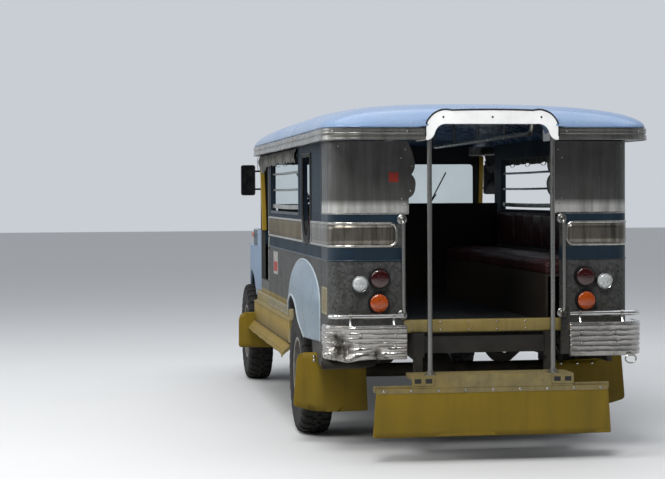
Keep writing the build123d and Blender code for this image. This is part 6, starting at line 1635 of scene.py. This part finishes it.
# ------------------------------------------------------------------ handrail flanges
for name, s in SIDES:
    for z, up in ((0.480, 1), (1.8105, -1)):
        fix(lathe(f"post_flange_{'low' if up > 0 else 'high'}_{name}", (s * 0.340, Y(-214), z), (0, 0, up), [(0.0, 0.033), (0.004, 0.033), (0.006, 0.030), (0.009, 0.0185), (0.024, 0.0165), (0.026, 0.0132)], m_tube, 32), "body", "stainless")
    for z in (1.316, 0.790):
        fix(lathe(f"grab_flange_{int(z * 1000)}_{name}", (s * 0.452, Y(0), z), (0, 1, 0), [(-0.0005, 0.027), (0.003, 0.027), (0.005, 0.024), (0.007, 0.0145), (0.016, 0.0130), (0.017, 0.0112)], m_tube, 28), "body", "stainless")
    for v in (700, 1400, 2100):
        fix(lathe(f"ceiling_clip_{v}_{name}", (s * 0.300, Y(v) - 0.012, 1.790), (0, 1, 0), [(0, 0.0132), (0.001, 0.0165), (0.023, 0.0165), (0.024, 0.0132)], m_tube, 24), "body", "stainless")

# ------------------------------------------------------------------ nose: headlamps, grille, latches, indicators
for name, s in SIDES:
    c = (s * 0.548, Y(5130), 0.880)
    ax = (0, -1, 0)
    fix(lathe(f"headlamp_ring_{name}", c, ax, [(-0.012, 0.0925), (-0.006, 0.0975), (0.004, 0.0985), (0.010, 0.0950), (0.012, 0.0880), (0.008, 0.0820), (0.001, 0.0800)], m_bright, 64), "body", "bright_metal")
    p = [(0.001, 0.0805)]
    for k in np.linspace(0, 1, 10):
        p.append((0.004 + 0.014 * math.sin(k * math.pi / 2), 0.079 * math.cos(k * math.pi / 2)))
    fix(lathe(f"headlamp_lens_{name}", c, ax, p, m_clear, 64), "body", "lens")
    fix(lathe(f"headlamp_bowl_{name}", (s * 0.548, Y(5062), 0.880), ax, [(-0.002, 0.060), (0.004, 0.093), (0.020, 0.0945), (0.060, 0.0940), (0.066, 0.0925)], m_bright, 64), "body", "bright_metal")
    # turn lamp on the fender shoulder and orange marker on the lamp box
    fix(lathe(f"turn_lamp_{name}", (s * 0.690, Y(5046), 0.930), (0, -1, 0.35), [(-0.02, 0.034), (0.004, 0.034), (0.010, 0.032), (0.012, 0.028), (0.020, 0.020), (0.024, 0.0)], m_amber, 36), "body", "lens")
    fix(lathe(f"marker_base_{name}", (s * 0.8345, Y(4290), 1.146), (s, 0, 0), [(0.0, 0.026), (0.005, 0.026), (0.007, 0.023), (0.006, 0.020)], m_bright, 32), "body", "lens")
    fix(lathe(f"marker_lamp_{name}", (s * 0.8345, Y(4290), 1.146), (s, 0, 0), [(0.004, 0.0215), (0.010, 0.0205), (0.016, 0.016), (0.0195, 0.009), (0.0205, 0.0)], m_amber, 32), "body", "lens")
    # rim along the top of the lamp box
    y0, y1 = Y(4330), Y(3905)
    top = [(s * 0.8352, y1, 1.186), (s * 0.8352, y0 + 0.02, 1.186), (s * 0.832, y0 + 0.004, 1.186), (s * 0.818, y0 - 0.0008, 1.186), (s * 0.590, y0 - 0.0008, 1.186)]
    fix(swept(f"lamp_box_edge_{name}", top, ring(0.0045, 8), m_mould, up=(0, 0, 1)), "body", "bright_metal")
    spots = [((s * 0.8352, Y(v), z), (s, 0, 0), 1.0) for v in (3925, 4065, 4205) for z in (1.085, 1.165)]
    fix(domes(f"lamp_box_screws_{name}", spots, m_mould, 0.005, 0.003), "body", "bright_metal")
# grille bars faced with bright half-rounds
for i in range(7):
    z = 0.730 + (i + 1) * 0.330 / 8
    path = [(x, Y(4922.5), z) for x in np.linspace(-0.333, 0.333, 9)]
    fix(swept(f"grille_bar_{i}", path, half_round(0.0105, 9, 0.9), m_bright, up=(0, 0, 1), side_sign=1), "body", "bright_metal")
mouth = []
for qx, qz, a0 in ((1, 1, 0), (-1, 1, 90), (-1, -1, 180), (1, -1, 270)):
    for a in np.linspace(a0, a0 + 90, 8):
        mouth.append((qx * 0.280 + 0.050 * math.cos(math.radians(a)), 0.895 + qz * 0.115 + 0.050 * math.sin(math.radians(a))))
loop = []
for i in range(len(mouth)):
    p, q = np.array(mouth[i]), np.array(mouth[(i + 1) % len(mouth)])
    m = max(1, int(np.linalg.norm(q - p) / 0.03))
    loop += [(*(p + (q - p) * k / m),) for k in range(m)]
fix(swept("grille_surround", [(x, Y(4930), z) for x, z in loop], [(0.007 * math.cos(a), 0.005 * math.sin(a)) for a in np.linspace(0, 2 * math.pi, 10, endpoint=False)], m_bright, up=(0, 1, 0), closed=True), "body", "bright_metal")
for name, s in SIDES:
    # latches between hood and fender
    fix(swept(f"hood_latch_{name}", [(s * 0.463, Y(4700), 1.050), (s * 0.466, Y(4700), 1.075), (s * 0.462, Y(4700), 1.092)], [(0.010, 0.003), (-0.010, 0.003), (-0.010, -0.003), (0.010, -0.003)], m_bright, up=(s, 0, 0)), "body", "bright_metal")
# bead along the bumper's face and its bolts
fix(domes("front_bumper_bolts", [((x, Y(5300.2), z), (0, -1, 0), 1.5) for x in (-0.62, -0.42, 0.42, 0.62) for z in (0.515, 0.570)], m_mould, 0.007, 0.005), "body", "bright_metal")
fix(swept("bumper_strip", [(x, Y(5300), 0.5925) for x in np.linspace(-0.68, 0.68, 9)], half_round(0.006, 7, 0.6), m_mould, up=(0, 0, 1), side_sign=1), "body", "bright_metal")

# ------------------------------------------------------------------ dash, gear lever
fix(swept("gear_lever", smooth_path([(0.02, Y(3700), 0.858), (0.022, Y(3690), 0.93), (0.03, Y(3650), 1.00), (0.045, Y(3600), 1.065)], 5), ring(0.007, 10), m_mould, up=(1, 0, 0)), "body", "grip_black")
fix(lathe("gear_knob", (0.045, Y(3600), 1.062), (0.1, 0.45, 0.9), [(-0.006, 0.008), (0.0, 0.016), (0.014, 0.0225), (0.030, 0.021), (0.040, 0.013), (0.043, 0.0)], m_grip, 28), "body", "grip_black")
fix(lathe("gear_boot", (0.02, Y(3700), 0.8585), (0, 0, 1), [(0.0, 0.062), (0.004, 0.060), (0.010, 0.050), (0.016, 0.052), (0.022, 0.036), (0.028, 0.038), (0.036, 0.018), (0.042, 0.0085)], m_rubber, 36), "body", "grip_black")
for k, (x, r) in enumerate(((0.300, 0.045), (0.455, 0.045), (0.130, 0.030), (0.215, 0.030))):
    z = 1.142 if r > 0.04 else 1.145
    fix(lathe(f"gauge_bezel_{k}", (x, Y(3615), z), (0, 1, 0), [(-0.0005, r), (0.006, r), (0.009, r * 0.95), (0.009, r * 0.88), (0.004, r * 0.86)], m_mould, 36), "body", "dark_trim")
    fix(lathe(f"gauge_face_{k}", (x, Y(3615), z), (0, 1, 0), [(0.004, r * 0.87), (0.0062, r * 0.55), (0.0068, 0.0)], m_gauge, 36), "body", "dark_trim")
# steering wheel: grips along the rim's underside and a horn button
sa = Vector((0, -math.cos(math.radians(40)), -math.sin(math.radians(40))))
hub = Vector((0.380, Y(3430), 1.290))
fix(lathe("horn_button", hub - sa * 0.0145, -sa, [(-0.001, 0.030), (0.004, 0.0295), (0.008, 0.026), (0.0105, 0.016), (0.0115, 0.0)], m_mould, 36), "hand_wheel", "grip_black")
xd = Vector((1, 0, 0))
yd = sa.cross(xd)
verts, faces = [], []
ng, nr = 160, 12
for i in range(ng):
    a = 2 * math.pi * i / ng
    c = hub + (xd * math.cos(a) + yd * math.sin(a)) * 0.200
    rad = xd * math.cos(a) + yd * math.sin(a)
    rr = 0.0136 + 0.0011 * math.cos(a * 40)
    for j in range(nr):
        b = 2 * math.pi * j / nr
        verts.append(c + rad * (rr * math.cos(b)) + sa * (rr * math.sin(b)))
faces = grid_faces(ng, nr, True, True)
fix(mesh_object("wheel_grip", verts, faces, m_grip), "hand_wheel", "grip_black")

# ------------------------------------------------------------------ side steps: flared lip, seams, torn end
for name, s in SIDES:
    vs = np.arange(1609, 3858, 24.0)
    P, Q, R = [], [], []
    for v in vs:
        k = math.exp(-((v - 1630) / 110.0) ** 2) if s > 0 else 0.0
        dz = -0.012 * k * (1 + 0.6 * math.sin(v * 0.21)) - 0.002 * math.sin(v * 0.013)
        P.append([(s * 0.8825, Y(v), 0.648), (s * (0.8820 - 0.004 * k), Y(v), 0.575), (s * (0.8805 - 0.008 * k), Y(v), 0.502)])
        Q.append([(s * (0.8830 - 0.008 * k), Y(v), 0.5030), (s * (0.8990 - 0.006 * k), Y(v), 0.4860 + dz * 0.3), (s * 0.9150, Y(v), 0.4690 + dz * 0.6), (s * 0.9255, Y(v), 0.4560 + dz)])
        R.append([(s * 0.9255, Y(v), 0.4560 + dz), (s * 0.9285, Y(v), 0.4510 + dz), (s * 0.9290, Y(v), 0.4420 + dz), (s * 0.9275, Y(v), 0.4340 + dz * 1.2)])
    fix(surface(f"step_apron_{name}", np.array(P), m_step, thick=0.0022, offset=0.0), "body", "step_yellow")
    fix(surface(f"step_flare_{name}", np.array(Q), m_step, thick=0.0022, offset=0.0), "body", "step_yellow")
    fix(surface(f"step_lip_{name}", np.array(R), m_step, thick=0.0022, offset=0.0), "body", "step_yellow")
    # dark tube along the fold: painted shade in the groove
    fix(swept(f"step_groove_{name}", [(s * 0.8818, Y(v), 0.5060) for v in vs], ring(0.0030, 8), m_groove_shade, up=(0, 0, 1)), "body", "step_yellow")
    for v in (2740.0, 3360.0):
        fix(swept(f"step_seam_{int(v)}_{name}", [(s * 0.8845, Y(v), 0.646), (s * 0.8838, Y(v), 0.57), (s * 0.8822, Y(v), 0.504), (s * 0.898, Y(v), 0.484)], [(0.006, 0.0008), (0.006, -0.0006), (-0.006, -0.0006), (-0.006, 0.0008)], m_yellow, up=(s, 0, 0)), "body", "step_yellow")
    fix(swept(f"step_ledge_bead_{name}", [(s * 0.8822, Y(v), 0.6500) for v in vs], ring(0.0045, 8), m_yellow, up=(0, 0, 1)), "body", "step_yellow")
    spots = [((s * 0.8585, Y(v), 0.7225), (s, 0, 0), 1.0) for v in np.arange(1640, 3860, 130)]
    fix(domes(f"step_rivets_{name}", spots, m_mould, 0.0055, 0.003, 8), "body", "step_yellow")

# entrance riser: folded yellow plate over the sill
P = []
for x in np.linspace(-0.4445, 0.4445, 40):
    w = 0.0010 * math.sin(x * 21)
    P.append([(x, Y(38), 0.7612), (x, 2.5290, 0.7614), (x, 2.5322, 0.7602), (x, 2.5335 + w, 0.7560), (x, 2.5340 + w * 1.4, 0.728), (x, 2.5338 + w, 0.700), (x, 2.5320, 0.6915)])
fix(surface("entrance_riser", np.array(P), m_yellow, thick=0.0016, offset=0.0), "body", "step_yellow")
fix(domes("riser_screws", [((x, 2.5352, z), (0, 1, 0), 1.0) for x in np.linspace(-0.40, 0.40, 6) for z in (0.706, 0.748)], m_mould, 0.0055, 0.003), "body", "step_yellow")


# ------------------------------------------------------------------ floor, light, camera
M = Mat("studio_floor")
_n = M.noise(0.8, 4.0, 0.5)
m_studio = M.out(M.mix(_n, (0.60, 0.60, 0.595), (0.64, 0.64, 0.635)), M.math("ADD", M.math("MULTIPLY", _n, 0.1), 0.62), 0.0, M.bump(M.noise(60.0, 2.0), 0.03, 0.001))
floor = mesh_object("studio_floor", [(-60, -60, -0.0005), (60, -60, -0.0005), (60, 60, -0.0005), (-60, 60, -0.0005)], [(0, 1, 2, 3)], m_studio, smooth=False)

world = bpy.data.worlds.new("studio_world")
bpy.context.scene.world = world
world.use_nodes = True
nt = world.node_tree
bg = nt.nodes["Background"]
tc = nt.nodes.new("ShaderNodeTexCoord")
sep = nt.nodes.new("ShaderNodeSeparateXYZ")
nt.links.new(tc.outputs["Generated"], sep.inputs[0])


def wmath(op, a, b, clamp=False):
    n = nt.nodes.new("ShaderNodeMath")
    n.operation = op
    n.use_clamp = clamp
    for k, v in enumerate((a, b)):
        if isinstance(v, bpy.types.NodeSocket):
            nt.links.new(v, n.inputs[k])
        else:
            n.inputs[k].default_value = v
    return n.outputs[0]


# bright overhead and behind the object, dim on the camera's side
side = wmath("ADD", wmath("MULTIPLY", sep.outputs[1], -0.75), 0.42)
light_share = wmath("ADD", side, wmath("MULTIPLY", sep.outputs[2], 0.85), clamp=True)
wm = nt.nodes.new("ShaderNodeMix")
wm.data_type = "RGBA"
nt.links.new(light_share, wm.inputs[0])
wm.inputs[6].default_value = (0.030, 0.033, 0.038, 1.0)
wm.inputs[7].default_value = (0.78, 0.82, 0.88, 1.0)
nt.links.new(wm.outputs[2], bg.inputs["Color"])
bg.inputs["Strength"].default_value = 0.75


def area(name, place, look, size, power, color=(1, 1, 1)):
    d = bpy.data.lights.new(name, "AREA")
    d.shape = "RECTANGLE"
    d.size, d.size_y = size
    d.energy = power
    d.color = color
    o = bpy.data.objects.new(name, d)
    o.location = place
    o.rotation_euler = (Vector(look) - Vector(place)).to_track_quat("-Z", "Y").to_euler()
    bpy.context.scene.collection.objects.link(o)
    return o


area("key_light", (6.5, 4.5, 7.0), (0.0, 0.8, 1.0), (5.0, 5.0), 420, (1.0, 0.985, 0.96))
area("top_light", (-0.5, -0.5, 8.5), (0.0, 0.0, 1.0), (9.0, 9.0), 330, (0.95, 0.97, 1.0))
area("rear_light", (2.5, 9.5, 8.5), (0.3, 2.5, 1.0), (3.0, 3.0), 640, (1.0, 1.0, 1.0))
area("side_light", (9.0, -2.0, 3.5), (0.8, -0.5, 1.0), (5.0, 3.0), 140, (0.96, 0.98, 1.0))

bpy.context.scene.view_settings.view_transform = "Standard"

cam_data = bpy.data.cameras.new("photo_camera")
cam_data.sensor_width = 36.0
cam_data.lens = 94.4
cam_data.clip_start = 0.1
cam_data.clip_end = 200.0
cam = bpy.data.objects.new("photo_camera", cam_data)
bpy.context.scene.collection.objects.link(cam)
yaw, pitch, roll = math.radians(-8.29), math.radians(-1.45), math.radians(-0.30)
d = Vector((math.sin(yaw) * math.cos(pitch), -math.cos(yaw) * math.cos(pitch), math.sin(pitch)))
right = d.cross(Vector((0, 0, 1))).normalized()
up = right.cross(d)
r2 = right * math.cos(roll) + up * math.sin(roll)
u2 = up * math.cos(roll) - right * math.sin(roll)
cam.matrix_world = Matrix(((r2.x, u2.x, -d.x, 2.21), (r2.y, u2.y, -d.y, 11.945), (r2.z, u2.z, -d.z, 1.45), (0, 0, 0, 1)))
bpy.context.scene.camera = cam
